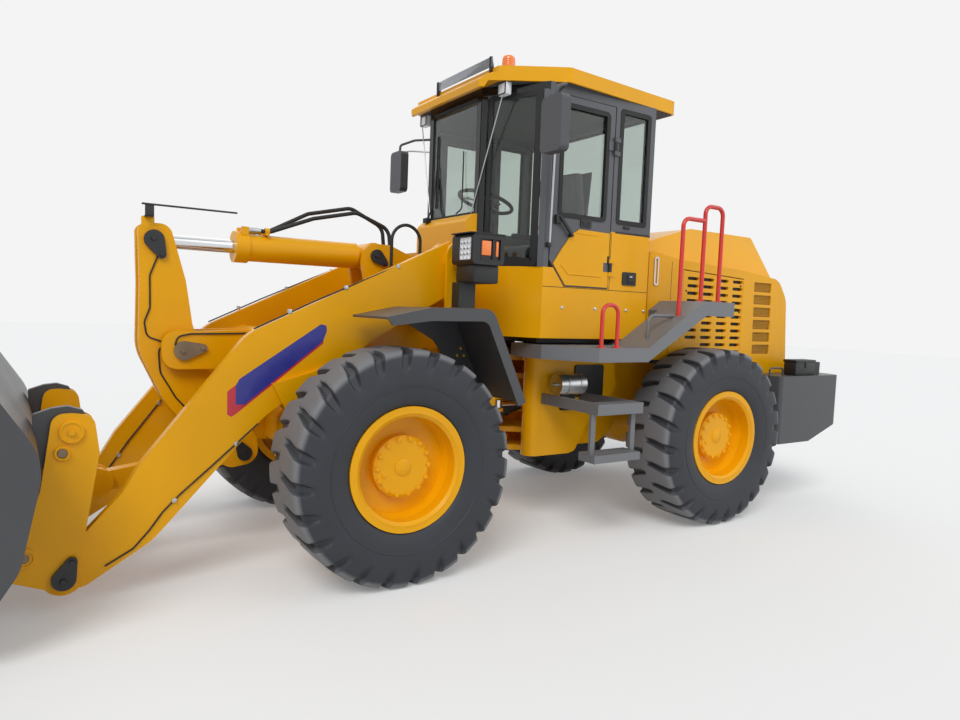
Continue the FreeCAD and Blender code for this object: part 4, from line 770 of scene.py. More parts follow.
def cab_fittings(work):
    for x, z in ((180, 2834), (190, 2030)):
        add_box(work, (x - 14, 774, z - 20), (x + 14, 812, z + 14), 4)
    add_slab(work, side_rect(-650, 1793, -513, 1889, CAB_FACE - 1), (0, 8, 0), 12)
    add_box(work, (-628, 785, 1808), (-560, 792, 1872), 3)
    add_box(work, (-560, 779, 2196), (-500, 792, 2214), 4)
    add_slab(work, side_rect(-775, 2158, -424, 2172, CAB_FACE - 1), (0, 1.8, 0))


def grab_rails(work):
    add_tube(work, [(178, 786, 2844), (179, 808, 2830), (190, 808, 2040), (191, 786, 2026)], 7.5, 16)


# The slab reaches out under the roof's overhang beyond the cab sides, where its dark felt is painted shade.
def roof_lining(work):
    plan = [(-985, -745), (-985, 745), (95, 822), (428, 590), (470, 545), (470, -545), (428, -590),
            (95, -822)]
    add_slab(work, [(x, y, 3091) for x, y in plan], (0, 0, 3.8), 30)


def stays(work):
    for s in (1, -1):
        add_tube(work, [(446, 560 * s, 3016), (493, 292 * s, 2250)], 4)
        add_tube(work, [(205, 782 * s, 2880), (320, 965 * s, 2905), (384, 1050 * s, 2900)], 7, 60)


def cab_bolts(work):
    for x in (-750, -571, -265, 36):
        add_bolt(work, (x, CAB_FACE, 1612), LEFT, 17)
    add_box(work, (-606, 791, 1850), (-580, 794, 1862), 1)


def cab_seams(work):
    add_slab(work, side_rect(-775, 1748, 215, 1752, CAB_FACE - 1), (0, 1.6, 0))
    add_slab(work, side_rect(-392, 1752, -388, 2158, CAB_FACE - 1), (0, 1.6, 0))


def glass_frit(work):
    for y, z in ((309, 2242), (354, 1884)):
        add_slab(work, [(SCREEN_X, y, z), (SCREEN_X, 361, z), (SCREEN_X, 361, 3040), (SCREEN_X, y, 3040)],
                 (2.5, 0, 0))
    add_slab(work, [(480, 359.5, 1884), (449, 386, 1884), (449, 386, 3040), (480, 359.5, 3040)],
             (1.6, 1.9, 0))
    add_slab(work, front_rect(0, 3037, 361, 3093, SCREEN_X), (2.5, 0, 0))
    add_slab(work, [(480, 359.5, 3037), (214.5, 779.5, 3037), (214.5, 779.5, 3093), (480, 359.5, 3093)],
             (2.1, 1.3, 0))


def visor_posts(work):
    for y in (-226, 480):
        add_slab(work, [(470, y, 3150), (512, y, 3150), (514, y, 3264), (496, y, 3264)], (0, 12, 0), 4)


def rain_visor(work):
    add_box(work, (500, -222, 3196), (506, 505, 3262), 2)


class LOADER_OT_cab(bpy.types.Operator):
    """Window seals, wipers, grab rails, visor, headliner with painted shade under the roof's overhang, covers and
    bolts of the cab
    """
    bl_idname = "loader.cab"
    bl_label = "Trim the Cab"

    def execute(self, context):
        fit(both_sides, "rear_frame", (side_window_seals, "rubber_seal"), (cab_fittings, "black_plastic"),
            (grab_rails, "plated_steel"), (cab_bolts, "plated_steel"), (cab_seams, "rubber_seal"))
        fit(piece, "rear_frame", (screen_seals_and_wipers, "rubber_seal"), (roof_lining, "headliner"),
            (stays, "plated_steel"), (rain_visor, "smoked_panel"))
        fit(both_sides, "rear_frame", (glass_frit, "black_frit"))
        fit(piece, "rear_frame", (visor_posts, "black_plastic"))
        return {"FINISHED"}


def mirror_glass(work):
    add_slab(work, front_rect(974, 2576, 1146, 2884, 356), (-3, 0, 0), 26)


def mirror_clamps(work):
    add_slab(work, front_rect(966, 2568, 1154, 2892, 357), (-5, 0, 0), 32, 9)
    add_box(work, (374, 1040, 2884), (406, 1080, 2908), 5)
    add_box(work, (190, 776, 2870), (222, 792, 3004), 4)


class LOADER_OT_mirrors(bpy.types.Operator):
    """Glass and clamps of the mirrors"""
    bl_idname = "loader.mirrors"
    bl_label = "Glaze the Mirrors"

    def execute(self, context):
        fit(both_sides, "rear_frame", (mirror_glass, "mirror_glass"),
            (mirror_clamps, "black_plastic", "mirror_shell"))
        return {"FINISHED"}


# Lamps

TAIL_LENSES = {"red": (728, 790), "amber": (796, 842), "clear": (848, 892)}


def beacon_foot(work):
    add_lathe(work, [(0, 3165.4), (62, 3165.4), (64, 3168), (64, 3198), (58, 3206), (0, 3206)], BEACON, UP)


def beacon_lens(work):
    profile = [(0, 3205), (50, 3205)]
    for i in range(9):
        z = 3210 + i * 12
        profile.extend([(50 - i * 0.4, z), (48.4 - i * 0.4, z + 6)])
    add_lathe(work, profile + [(44, 3322), (36, 3331), (0, 3334)], BEACON, UP)


def work_lamp_shells(work):
    add_box(work, (396, 496, 3011), (446, 589, 3094.5), 8)
    add_box(work, (412, 520, 3080), (434, 566, 3095), 2)


def work_lamp_rims(work):
    add_slab(work, front_rect(496, 3012, 589, 3094, 445), (5, 0, 0), 12, 8)


def reflector_cup(work):
    add_lathe(work, [(0, 2), (12, 6), (15, 9), (16.5, 9), (16.5, 0), (0, 0)], (0, 0, 0), FORWARD, 16)


def headlight_bezels(work):
    add_slab(work, front_rect(784, 1868, 931, 2017, 879), (3, 0, 0), 16, 9)
    add_slab(work, side_rect(674, 1874, 826, 2011, 944), (0, 3, 0), 12, 7)
    add_box(work, (722, 935, 1880), (738, 944, 2005), 2)
    add_slab(work, [(640, 700, 2034), (640, 952, 2034), (900, 952, 2034), (900, 700, 2034)], (0, 0, 6), 24)
    add_box(work, (668, 705, 1737), (852, 922, 1852), 14)
    add_box(work, (668, 700, 1848), (868, 930, 1862), 4)


def headlight_rings(work):
    add_slab(work, front_rect(794, 1877, 921, 2008, 878), (2.5, 0, 0), 12, 5)


def turn_lamps(work):
    add_box(work, (746, 934, 1906), (816, 942, 1994), 5)
    add_box(work, (692, 934, 1902), (710, 942, 1994), 3)


def headlight_bolts(work):
    for z in (1620, 1690):
        add_bolt(work, (820, 740, z), LEFT, 18)
    for x in (720, 760, 800):
        add_bolt(work, (x, 900, 1780), LEFT, 14)


class LOADER_OT_lamps(bpy.types.Operator):
    """Beacon, work lamps, headlight lenses, turn lamps and tail lamps"""
    bl_idname = "loader.lamps"
    bl_label = "Fit the Lamps"

    def execute(self, context):
        foot = fit(piece, "rear_frame", (beacon_foot, "black_plastic"))
        fit(piece, "rear_frame", (beacon_lens, "amber_lens"))
        fit(both_sides, "rear_frame", (work_lamp_shells, "clear_lens"), (work_lamp_rims, "black_plastic"))
        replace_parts(foot, "roof_lamps")
        cup = mesh_of("cup", reflector_cup, local=True)
        cups = placed(grid_of(cup, "clear_lens", (3, (0, 39, 0)), (4, (0, 0, 33))), spot(870.5, 818, 1893))
        both_sides("headlight_cups", cups, "clear_lens", "front_frame")
        fit(both_sides, "front_frame", (headlight_rings, "clear_lens"), (headlight_bezels, "black_plastic"),
            (turn_lamps, "amber_lens"), (headlight_bolts, "plated_steel", "alloy"))
        for name, (inner, outer) in TAIL_LENSES.items():
            made = mesh_of(name, lambda work: add_box(work, (-2906, inner, 1124), (-2898, outer, 1216), 3))
            both_sides("tail_lens_" + name, made, name + "_lens", "rear_frame")
        return {"FINISHED"}


# Working arm

ARM_FILM = [
    (2157, 1104), (2136, 1141), (1673, 1454), (1640, 1447), (1636, 1415), (1660, 1352), (2106, 996), (2156, 998)]
ARM_FILM_EDGE = [
    (2202, 1072), (2150, 1112), (1900, 1260), (1652, 1385), (1657, 1340), (2150, 948), (2178, 930), (2201, 944)]


def pear(work, x, z, face, big, tail, way):
    """Keeper plate on the end of a pin: a round cap running out to a smaller foot with two bolts."""
    dx, dz = math.cos(math.radians(way)), math.sin(math.radians(way))
    loop = []
    for i in range(17):
        a = math.radians(way + 65 + i * 230 / 16)
        loop.append((x + big * math.cos(a), z + big * math.sin(a)))
    for i in range(9):
        a = math.radians(way - 75 + i * 150 / 8)
        loop.append((x + dx * tail + big * 0.45 * math.cos(a), z + dz * tail + big * 0.45 * math.sin(a)))
    add_slab(work, side_points(loop, face - 1), (0, 13, 0))
    add_bolt(work, (x + dx * tail, face + 11, z + dz * tail), LEFT, 22)
    add_bolt(work, (x - dx * big * 0.15, face + 11, z - dz * big * 0.15), LEFT, 26)


def arm_film(work):
    add_slab(work, side_points(ARM_FILM, ARM_FACE + 0.5), (0, 0.8, 0), 6)


def arm_film_edge(work):
    add_slab(work, side_points(ARM_FILM_EDGE, ARM_FACE - 0.3), (0, 0.7, 0), 6)


def crank_pivot_keepers(work):
    pear(work, 2350, 1270, 153, 56, 104, 172)
    add_rod(work, (2350, 140, 1270), (2350, 160, 1270), 30)


def arm_grease_lines(work):
    r = trim().grease_line * 1000
    add_tube(work, [(1010, 554, 1900), (1320, 556, 1765), (1700, 556, 1593), (2060, 556, 1420)], r, 120)
    add_tube(work, [(2400, 153, 1300), (2385, 153, 1352), (2314, 153, 1368), (2062, 153, 1374),
                    (1913, 153, 1380)], r, 40)
    add_tube(work, [(2032, 564, 885), (2276, 564, 668), (2441, 564, 525), (2526, 564, 440), (2590, 564, 350),
                    (2668, 564, 262), (2800, 564, 190)], r, 60)
    add_tube(work, [(1870, 492, 1330), (1900, 494, 1230), (2200, 494, 1120), (2560, 494, 640),
                    (2700, 494, 430)], r, 100)


def arm_clips(work):
    for x, z in ((1180, 1820), (1520, 1672), (1860, 1520)):
        add_box(work, (x - 12, 548, z - 10), (x + 12, 563, z + 16), 3)
    for x, z in ((2150, 780), (2470, 496)):
        add_box(work, (x - 12, 559, z - 12), (x + 12, 571, z + 12), 3)
    for x, z in ((2050, 1175), (2380, 880), (2620, 550)):
        add_box(work, (x - 12, 488, z - 12), (x + 12, 502, z + 12), 3)


def crank_pin_keepers(work):
    pear(work, 2505, 1905, 88, 56, 92, 244)
    pear(work, 1975, 620, 86, 46, 78, 60)


def crank_grease_lines(work):
    r = trim().grease_line * 1000
    add_tube(work, [(2478, 84, 1830), (2526, 84, 1700), (2524, 84, 1513), (2554, 84, 1430), (2540, 84, 1345),
                    (2476, 84, 1325), (2430, 84, 1300)], r, 60)
    add_tube(work, [(2430, 84, 1310), (2478, 84, 1275), (2468, 84, 1138), (2380, 84, 985), (2180, 84, 760),
                    (2060, 84, 665)], r, 90)


def level_bar(work):
    add_box(work, (2049, 106, 2094), (2575, 124, 2104), 2)
    add_box(work, (2510, 56, 2029), (2558, 120, 2037), 2)
    add_box(work, (2510, 112, 2031), (2558, 120, 2096), 2)


def level_tab(work):
    add_box(work, (2502, 52, 1955), (2570, 80, 2034), 4)


def coupler_keepers(work):
    pear(work, 2983, 165, 598, 55, 92, 112)


def coupler_rings(work):
    for x, z, r in ((2948, 899, 56), (2988, 797, 36), (3148, 296, 48)):
        add_lathe(work, [(0, 586), (r, 586), (r, 604), (r - 3, 607), (r - 11, 607), (r - 13, 602.5),
                         (0, 602.5)], (x, 0, z), LEFT, 40)
    add_bolt(work, (2948, 603, 899), LEFT, 30)


def coupler_pins(work):
    for x, z in ((2988, 797), (3148, 296)):
        add_lathe(work, [(0, 596), (22, 596), (22, 608), (19, 611), (0, 611)], (x, 0, z), LEFT, 32)


def bucket_ears(work):
    outline = [(3110, 925), (3112, 985), (3030, 1014), (2962, 1022), (2897, 1000), (2868, 948), (2886, 894),
               (2960, 866), (3096, 866)]
    add_slab(work, side_points(outline, 506), (0, 48, 0), 14)


def tower_pin_caps(work):
    for x, z, r in ((765, 1885, 62), (760, 1290, 50)):
        add_lathe(work, [(0, 632), (r, 632), (r, 640), (r - 3, 643), (0, 643)], (x, 0, z), LEFT, 40)
        for k in range(3):
            a = math.radians(90 + 120 * k)
            add_bolt(work, (x + (r - 20) * math.cos(a), 642, z + (r - 20) * math.sin(a)), LEFT, 20)


def tilt_pin_keepers(work):
    pear(work, 1130, 1907, 133, 46, 76, 215)


class LOADER_OT_arms(bpy.types.Operator):
    """Blank film panels, pin keepers, bolts and grease lines of the lift arms and the linkage"""
    bl_idname = "loader.arms"
    bl_label = "Trim the Arms"

    def execute(self, context):
        fit(both_sides, "lift_arm", (arm_film, "blue_film"), (arm_film_edge, "red_film"),
            (crank_pivot_keepers, "worn_steel"), (arm_grease_lines, "hose_rubber"), (arm_clips, "plated_steel"))
        fit(both_sides, "bellcrank", (crank_pin_keepers, "black_steel"), (crank_grease_lines, "hose_rubber"))
        fit(piece, "bellcrank", (level_bar, "black_steel"), (level_tab, "yellow_enamel"))
        fit(both_sides, "coupler", (coupler_keepers, "black_steel"), (coupler_rings, "yellow_enamel"),
            (coupler_pins, "worn_steel"), (bucket_ears, "dark_enamel"))
        fit(both_sides, "front_frame", (tower_pin_caps, "yellow_enamel"), (tilt_pin_keepers, "black_steel"))
        return {"FINISHED"}


def tilt_hose_ferrules(work):
    for y in (-52, 52):
        add_lathe(work, [(13.4, 0), (17, 0), (18, 8), (18, 60), (15, 78), (13.4, 78), (13.4, 0)],
                  (1968, y, 2011), (-1, 0, 0), 24)


def tilt_hose_bracket(work):
    add_box(work, (1838, -78, 1984), (1862, 78, 1998), 3)
    for y in (-52, 52):
        add_lathe(work, sleeve(13.4, 22, 14), (1850, y, 2011), FORWARD, 20)
    add_bolt(work, (1850, 0, 1997), UP, 20)


def lift_pipes(work):
    a, b = Vector((760, LIFT_PLANE, 1290)), Vector((1786, LIFT_PLANE, 990))
    way = (b - a).normalized()
    up = Vector((-way.z, 0, way.x))
    side = Vector(LEFT)
    line = [a + way * 170 + up * 40 - side * 46, a + way * 150 + up * 76 - side * 20,
            a + way * 700 + up * 76 - side * 20, a + way * 735 + up * 50 - side * 20]
    add_tube(work, line, 10, 30)


class LOADER_OT_hydraulics(bpy.types.Operator):
    """Hose ferrules and a hose clamp on the tilt cylinder, and steel pipes on the lift cylinders"""
    bl_idname = "loader.hydraulics"
    bl_label = "Fit the Hydraulic Lines"

    def execute(self, context):
        fit(piece, "tilt_barrel", (tilt_hose_ferrules, "plated_steel"), (tilt_hose_bracket, "yellow_enamel"))
        fit(both_sides, "lift_barrel_", (lift_pipes, "yellow_enamel"))
        return {"FINISHED"}


EDGE_BOLTS = 11


class LOADER_OT_bucket(bpy.types.Operator):
    """Cutting edge of the bucket and its bolts"""
    bl_idname = "loader.bucket"
    bl_label = "Edge the Bucket"

    def execute(self, context):
        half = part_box("bucket")[1][1] * 1000 - 30
        turn = spot(ARM_TIP[0], 0, ARM_TIP[1]) @ Matrix.Rotation(math.radians(-BUCKET_ROLL), 4, "Y")

        def edge(work):
            add_slab(work, [(1112, -half, -108), (1266, -half, -110), (1266, -half, -104), (1124, -half, -94)],
                     (0, 2 * half, 0))

        bolt = mesh_of("bolt", lambda work: add_bolt(work, (0, 0, 0), UP, 30), local=True)
        row = repeated(bolt, "row", EDGE_BOLTS, (0, 2 * (half - 90) / (EDGE_BOLTS - 1), 0), "black_steel")
        row = placed(row, Matrix.Translation((1.165, (90 - half) / 1000, -0.0975)))
        piece("cutting_edge", placed(mesh_of("edge", edge, local=True), turn), "worn_steel", "coupler")
        piece("edge_bolts", placed(row, turn), "black_steel", "coupler")
        return {"FINISHED"}


# Hood and rear

VENTS = [(-2175 - 4 * i, 1905 - 108 * i) for i in range(6)]  # x and z of each opening's upper front corner
VENT_LENGTH, VENT_HEIGHT = 238, 80


# Black sheets in the seal rubber behind the vent openings and the service panel: painted shade inside the hood.
def vent_shadow(work):
    for x, z in VENTS:
        add_box(work, (x - VENT_LENGTH, HOOD_FACE - 12.5, z - VENT_HEIGHT), (x - 2, HOOD_FACE - 11.6, z - 2))
    add_box(work, (-2055, HOOD_FACE - 36, 1245), (-1245, HOOD_FACE - 25, 1985))


def hood_handles(work):
    add_slab(work, side_rect(-978, 1816, -930, 2033, HOOD_FACE - 1), (0, 12, 0), 20, 13)


def hood_seams_and_catches(work):
    add_slab(work, side_rect(-1137, 1245, -1133, 2010, HOOD_FACE - 1), (0, 1.6, 0))
    for z in (1420, 1640, 1860):
        add_lathe(work, [(0, 689), (9, 689), (9, 693), (7, 695), (0, 695)], (-1990, 0, z), LEFT, 16)
    for z in (1450, 1620, 1790):
        add_lathe(work, [(0, 689), (8, 689), (8, 693), (0, 694)], (-1310, 0, z), LEFT, 16)


class LOADER_OT_hood(bpy.types.Operator):
    """Mesh in the vents, door handles, seams and hinges of the hood"""
    bl_idname = "loader.hood"
    bl_label = "Trim the Hood"

    def execute(self, context):
        pitch = trim().wire_pitch * 1000

        def wires(width, height, room, step, shift):
            wire = mesh_of("wire", lambda work: add_box(work, (-width, -1.2, -height), (0, 1.2, 0)), local=True)
            row = repeated(wire, "row", int((room - 2) / pitch), step, "yellow_enamel")
            return placed(row, Matrix.Translation(shift))

        net = joined("net", [
            wires(2.2, VENT_HEIGHT, VENT_LENGTH, (-pitch, 0, 0), (-pitch / 2000, 0, -0.001)),
            wires(VENT_LENGTH, 2.2, VENT_HEIGHT, (0, 0, -pitch), (-0.001, 0, -pitch / 2000))])
        nets = [placed(net, spot(x, HOOD_FACE - 10.4, z)) for x, z in VENTS]
        both_sides("vent_mesh", joined("vents", nets), "yellow_enamel", "rear_frame")
        fit(both_sides, "rear_frame", (vent_shadow, "rubber_seal"), (hood_handles, "bare_aluminium"),
            (hood_seams_and_catches, "rubber_seal"))
        return {"FINISHED"}


def battery_boxes(work):
    add_box(work, (-2722, 845, 1114), (-2440, 965, 1238), 10)
    add_box(work, (-2728, 839, 1226), (-2434, 971, 1250), 8)
    add_box(work, (-2600, 964, 1180), (-2570, 972, 1240), 3)
    add_slab(work, side_rect(-648, 945, -362, 1188, 481), (0, 16, 0), 20)
    add_box(work, (-352, 481, 850), (-228, 520, 975), 8)
    add_box(work, (-760, -2, 1360), (180, 700, 1400.5), 6)


def weight_grabs(work):
    add_tube(work, [(-2170, 900, 1110), (-2170, 900, 1178), (-2350, 900, 1178), (-2350, 900, 1110)], 8, 30)


def canister_straps(work):
    for x in (-185, -300):
        add_lathe(work, sleeve(75.5, 79, 9), (x, CANISTER_Y, CANISTER_Z), FORWARD, 40)
    add_lathe(work, [(0, 0), (14, 0), (14, 16), (8, 20), (8, 34), (0, 34)], (-110, CANISTER_Y, CANISTER_Z),
              FORWARD, 20)


def cleat(work):
    add_box(work, (-14, -4, 0), (14, 4, 3.5), 1.2)


def rail_feet(work):
    for x, y, z in ((-60, 1085, 1354), (-200, 1085, 1354), (-1080, 1030, 1699), (-1275, 1030, 1699)):
        add_lathe(work, [(0, 0), (30, 0), (30, 7), (28, 9), (0, 9)], (x, y, z), UP, 28)


class LOADER_OT_rear(bpy.types.Operator):
    """Battery boxes and grab handles on the counterweight, covers and straps of the rear frame"""
    bl_idname = "loader.rear"
    bl_label = "Trim the Rear"

    def execute(self, context):
        fit(both_sides, "rear_frame", (battery_boxes, "black_plastic"), (weight_grabs, "dark_enamel"))
        fit(piece, "rear_frame", (canister_straps, "plated_steel"))
        stud = mesh_of("cleat", cleat, local=True)
        long = grid_of(stud, "deck_enamel", (8, (46, 0, 0)), (4, (0, 24, 0)))
        wide = grid_of(stud, "deck_enamel", (10, (46, 0, 0)), (12, (0, 24, 0)))
        cleats = [placed(long, spot(-412, 1020, 979.5)), placed(long, spot(-412, 995, 639.5)),
                  placed(wide, spot(-450, 800, DECK_TOP))]
        both_sides("tread_cleats", joined("cleats", cleats), "deck_enamel", "rear_frame")
        fit(both_sides, "rear_frame", (rail_feet, "red_enamel"))
        return {"FINISHED"}


# Seat and controls

WHEEL_HUB = Vector((180, 0, 2390))
WHEEL_LEAN = Vector((-0.3, 0, 0.954)).normalized()

def cushion(size, crown, waist, seams):
    """A crowned pad about the origin: its sides pull in between the corners and seams run along it."""
    nx, ny = 28, 24

    def build(work):
        lx, ly, lz = (s / 2 for s in size)
        layers = []
        for top in (1, -1):
            grid = []
            for i in range(nx + 1):
                row = []
                for j in range(ny + 1):
                    u, w = 2 * i / nx - 1, 2 * j / ny - 1
                    pull_x = 1 - waist * (1 - w * w)
                    pull_y = 1 - waist * (1 - u * u)
                    corner = 1 - 0.06 * (u * u * w * w)
                    dome = (1 - u ** 4) * (1 - w ** 4)
                    z = lz * 0.45 + (lz * 0.55) * dome ** 0.4 if top > 0 else -lz
                    if top > 0:
                        z += crown * (1 - u * u) * (1 - w * w)
                        z -= sum(7 * math.exp(-((w - s) / 0.045) ** 2) for s in seams) * min(1, 3 * (1 - abs(u)))
                    row.append(work.verts.new((lx * u * pull_x * corner, ly * w * pull_y * corner, z)))
                grid.append(row)
            layers.append(grid)
        for grid in layers:
            for a, b in zip(grid, grid[1:]):
                for j in range(ny):
                    work.faces.new((a[j], a[j + 1], b[j + 1], b[j]))
        upper, lower = layers
        ring = [(i, 0) for i in range(nx)] + [(nx, j) for j in range(ny)]
        ring += [(i, ny) for i in range(nx, 0, -1)] + [(0, j) for j in range(ny, 0, -1)]
        for (i, j), (k, m) in zip(ring, ring[1:] + ring[:1]):
            work.faces.new((upper[i][j], upper[k][m], lower[k][m], lower[i][j]))

    return mesh_of("cushion", build, local=True)


def seat_frame(work):
    add_box(work, (-585, -215, CAB_FLOOR), (-165, 215, 1700), 10)
    for i in range(6):
        inset = 16 if i % 2 else 0
        add_box(work, (-570 + inset, -200 + inset, 1700 + i * 42), (-180 - inset, 200 - inset, 1742 + i * 42),
                12)
    add_box(work, (-605, -225, 1950), (-150, 225, 1992), 12)
    add_slab(work, [(-628, -215, 2080), (-612, -215, 2080), (-664, -215, 2700), (-678, -215, 2700)],
             (0, 430, 0), 6)
    for y in (-268, 214):
        add_box(work, (-560, y, 2170), (-250, y + 54, 2212), 16)
        add_box(work, (-590, y + 12, 2040), (-550, y + 42, 2190), 6)


def controls(work):
    add_box(work, (-330, -420, CAB_FLOOR), (60, -300, 2060), 18)
    add_box(work, (-330, 310, CAB_FLOOR), (-40, 400, 1960), 18)
    for x in (-40, 0):
        add_rod(work, (x, -360, 2050), (x + 20, -360, 2230), 6)
        add_lathe(work, [(0, 0), (12, 4), (17, 18), (16, 38), (8, 50), (0, 52)], (x + 20, -360, 2222),
                  (0.1, 0, 1), 24)
    add_box(work, (300, -170, CAB_FLOOR), (437, 170, 2100), 20)
    add_box(work, (250, -150, 2080), (430, 150, 2200), 30)
    add_lathe(work, [(0, -400), (64, -400), (46, -250), (40, -60), (58, -30), (58, 12), (44, 22), (0, 24)],
              WHEEL_HUB, WHEEL_LEAN, 32)
    circle = [(206 + 14 * math.cos(a), 14 * math.sin(a)) for a in (math.pi * k / 8 for k in range(17))]
    add_lathe(work, circle, WHEEL_HUB, WHEEL_LEAN, 72)
    add_rod(work, WHEEL_HUB - WHEEL_LEAN * 60, WHEEL_HUB - WHEEL_LEAN * 40 + Vector((0, 210, 0)), 7)


def wheel_spokes(work):
    for angle in (20, 160, 270):
        a = math.radians(angle)
        side, up = across(WHEEL_LEAN)
        out = side * math.cos(a) + up * math.sin(a)
        add_tube(work, [WHEEL_HUB + out * 50, WHEEL_HUB + out * 130, WHEEL_HUB + out * 206], 9)


class LOADER_OT_seat(bpy.types.Operator):
    """Suspension seat with its cushions, the steering wheel and the control levers"""
    bl_idname = "loader.seat"
    bl_label = "Upholster the Seat"

    def execute(self, context):
        lean = Matrix.Rotation(math.radians(-83), 4, "Y")
        pads = (
            ("seat_cushion", cushion((470, 505, 105), 16, 0.03, (-0.62, 0.62)), spot(-372, 0, 2042)),
            ("seat_back", cushion((600, 490, 105), 14, 0.04, (-0.6, 0.6)), spot(-572, 0, 2395) @ lean),
        )
        for name, mesh, place in pads:
            pad = piece(name, placed(mesh, place), "seat_vinyl", "rear_frame", smooth=60)
            round_off = pad.modifiers.new("round", "SUBSURF")
            round_off.levels = round_off.render_levels = 1
            if name == "seat_cushion":
                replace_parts(pad, "seat")
        fit(piece, "rear_frame", (seat_frame, "black_plastic"))
        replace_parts(fit(piece, "rear_frame", (controls, "black_plastic")), "steering_column")
        fit(piece, "rear_frame", (wheel_spokes, "plated_steel"))
        return {"FINISHED"}


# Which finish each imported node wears
NODE_FINISH = {
    "tyre_rubber": ["tyre_front_left", "tyre_front_right", "tyre_rear_left", "tyre_rear_right"],
    "yellow_enamel": [
        "rim_front_left", "rim_front_right", "rim_rear_left", "rim_rear_right", "front_axle", "rear_axle",
        "front_frame", "rear_frame", "lift_arm", "bellcrank", "bucket_link", "coupler", "lift_barrel_left",
        "lift_barrel_right", "tilt_barrel", "steer_barrel_left", "steer_barrel_right", "hood", "service_panels",
        "cab_body", "cab_roof"],
    "grey_enamel": ["cab_frame", "cab_door_left", "cab_door_right"],
    "deck_enamel": ["platforms", "steps"],
    "dark_enamel": ["bucket", "front_fenders", "counterweight", "rear_grille"],
    "red_enamel": ["handrails"],
    "black_plastic": ["headlights", "roof_lamps", "steering_column", "tail_lamps", "seat"],
    "mirror_plastic": ["mirrors"],
    "cast_iron": ["engine_block", "front_drive_shaft", "rear_drive_shafts"],
    "chrome_rod": ["lift_rod_left", "lift_rod_right", "tilt_rod", "steer_rod_left", "steer_rod_right"],
    "bare_aluminium": ["brake_reservoir"],
    "hose_rubber": ["tilt_hoses", "tower_hose"],
    "cab_glass": ["cab_glass", "door_glass_left", "door_glass_right"],
}


class LOADER_OT_paint(bpy.types.Operator):
    """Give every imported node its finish"""
    bl_idname = "loader.paint"
    bl_label = "Paint the Packed Nodes"

    def execute(self, context):
        for finish, names in NODE_FINISH.items():
            for name in names:
                node = NODES[name]
                node.data.materials.clear()
                node.data.materials.append(finish_of(finish))
        bare = [name for name in NODES if not NODES[name].data.materials]
        if bare:
            raise RuntimeError("nodes without a finish: %s" % bare)
        return {"FINISHED"}


# Stage

CAMERA_PLACE = Vector((2.6293, 4.570, 1.574))
CAMERA_TURN = 146.624
CAMERA_DOWN = 4.022
CAMERA_ROLL = 2.238
CAMERA_LENS = 26.7

SUNS = (  # name, where it stands, strength, softness in degrees
    ("key", (5.5, 6.0, 8.0), 1.5, 30),
    ("fill", (-6.5, 6.5, 5.0), 0.45, 60),
    ("back", (-3.0, -8.0, 8.0), 0.35, 60),
)
FLOOR_GLOW = 0.17
FLOOR_HALF = 40


def shown_rays(tree):
    """1 where the camera, glass or gloss looks at the background, 0 where it lights the object."""
    rays = add(tree, "ShaderNodeLightPath")
    seen = rays.outputs["Is Camera Ray"]
    for kind in ("Is Transmission Ray", "Is Glossy Ray"):
        seen = add(tree, "ShaderNodeMath", {"operation": "MAXIMUM"}, {0: seen, 1: rays.outputs[kind]}).outputs[0]
    return seen


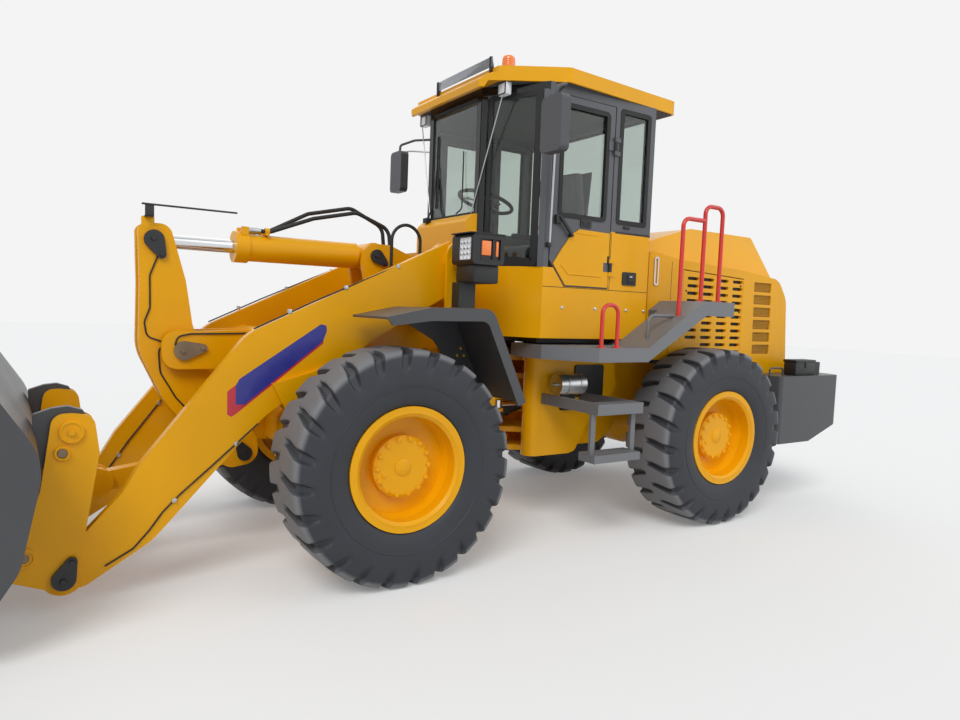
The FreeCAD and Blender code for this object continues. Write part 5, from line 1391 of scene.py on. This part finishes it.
class LOADER_OT_stage(bpy.types.Operator):
    """Floor, lights and the camera at the photograph's angle"""
    bl_idname = "loader.stage"
    bl_label = "Set the Stage"

    def execute(self, context):
        scene = context.scene
        turn, down, roll = (math.radians(a) for a in (CAMERA_TURN, CAMERA_DOWN, CAMERA_ROLL))
        ahead = Vector((-math.sin(turn), math.cos(turn), 0))
        side = Vector((math.cos(turn), math.sin(turn), 0))
        up = Vector(UP)
        look = ahead * math.cos(down) - up * math.sin(down)
        head = up * math.cos(down) + ahead * math.sin(down)
        right = side * math.cos(roll) + head * math.sin(roll)
        top = head * math.cos(roll) - side * math.sin(roll)
        data = bpy.data.cameras.new("photo_camera")
        data.lens = CAMERA_LENS
        data.sensor_width = 36.0
        data.clip_end = 200
        camera = bpy.data.objects.new("photo_camera", data)
        facing = Matrix((right, top, -look)).transposed().to_4x4()
        camera.matrix_world = Matrix.Translation(CAMERA_PLACE) @ facing
        scene.collection.objects.link(camera)
        scene.camera = camera

        mesh = bpy.data.meshes.new("floor")
        corners = [(x * FLOOR_HALF, y * FLOOR_HALF, 0) for x, y in ((-1, -1), (1, -1), (1, 1), (-1, 1))]
        mesh.from_pydata(corners, [], [(0, 1, 2, 3)])
        floor = bpy.data.objects.new("floor", mesh)
        scene.collection.objects.link(floor)
        material, tree = new_material("pale_floor")
        glow = add(tree, "ShaderNodeMath", {"operation": "MULTIPLY"}, {0: shown_rays(tree)})
        glow.inputs[1].default_value = FLOOR_GLOW
        close_tree(tree, {
            "Base Color": colour("E9E9E7"), "Roughness": 0.95, "Specular IOR Level": 0.0,
            "Emission Color": colour("FFFFFF")}, {"Emission Strength": glow.outputs[0]})
        mesh.materials.append(material)

        world = bpy.data.worlds.new("studio")
        world.use_nodes = True
        tree = world.node_tree
        tree.nodes.clear()
        lamp = add(tree, "ShaderNodeBackground", {"Color": colour("E4E8EE"), "Strength": 0.5})
        shown = add(tree, "ShaderNodeBackground", {"Color": colour("F4F4F4"), "Strength": 1.0})
        mix = add(tree, "ShaderNodeMixShader", links={
            "Fac": shown_rays(tree), 1: lamp.outputs[0], 2: shown.outputs[0]})
        add(tree, "ShaderNodeOutputWorld", links={"Surface": mix.outputs[0]})
        scene.world = world

        for name, place, strength, softness in SUNS:
            light = bpy.data.lights.new(name, "SUN")
            light.energy = strength
            light.angle = math.radians(softness)
            lamp = bpy.data.objects.new(name, light)
            lamp.rotation_euler = (-Vector(place)).to_track_quat("-Z", "Y").to_euler()
            scene.collection.objects.link(lamp)
        scene.view_settings.view_transform = "Standard"
        return {"FINISHED"}


class LOADER_PT_panel(bpy.types.Panel):
    """Lists the steps in order, with their colours and sizes"""
    bl_idname = "LOADER_PT_panel"
    bl_label = "Wheel Loader"
    bl_space_type = "VIEW_3D"
    bl_region_type = "UI"
    bl_category = "Wheel Loader"

    def draw(self, context):
        for settings in (paint(), trim()):
            for name in settings.bl_rna.properties.keys():
                if name not in ("rna_type", "name"):
                    self.layout.prop(settings, name)
        for step in STEPS:
            self.layout.operator(step.bl_idname)


STEPS = [
    LOADER_OT_paint, LOADER_OT_tyres, LOADER_OT_hubs, LOADER_OT_doors, LOADER_OT_cab, LOADER_OT_mirrors,
    LOADER_OT_lamps, LOADER_OT_arms, LOADER_OT_hydraulics, LOADER_OT_bucket, LOADER_OT_hood, LOADER_OT_rear,
    LOADER_OT_seat, LOADER_OT_stage]
CLASSES = [LoaderPaint, LoaderTrim] + STEPS + [LOADER_PT_panel]


def register():
    for cls in CLASSES:
        bpy.utils.register_class(cls)
    bpy.types.Scene.loader_paint = bpy.props.PointerProperty(type=LoaderPaint)
    bpy.types.Scene.loader_trim = bpy.props.PointerProperty(type=LoaderTrim)


def unregister():
    del bpy.types.Scene.loader_trim
    del bpy.types.Scene.loader_paint
    for cls in reversed(CLASSES):
        bpy.utils.unregister_class(cls)


def main():
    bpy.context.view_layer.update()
    register()
    for step in STEPS:
        group, name = step.bl_idname.split(".")
        getattr(getattr(bpy.ops, group), name)()


if __name__ == "__main__":
    main()
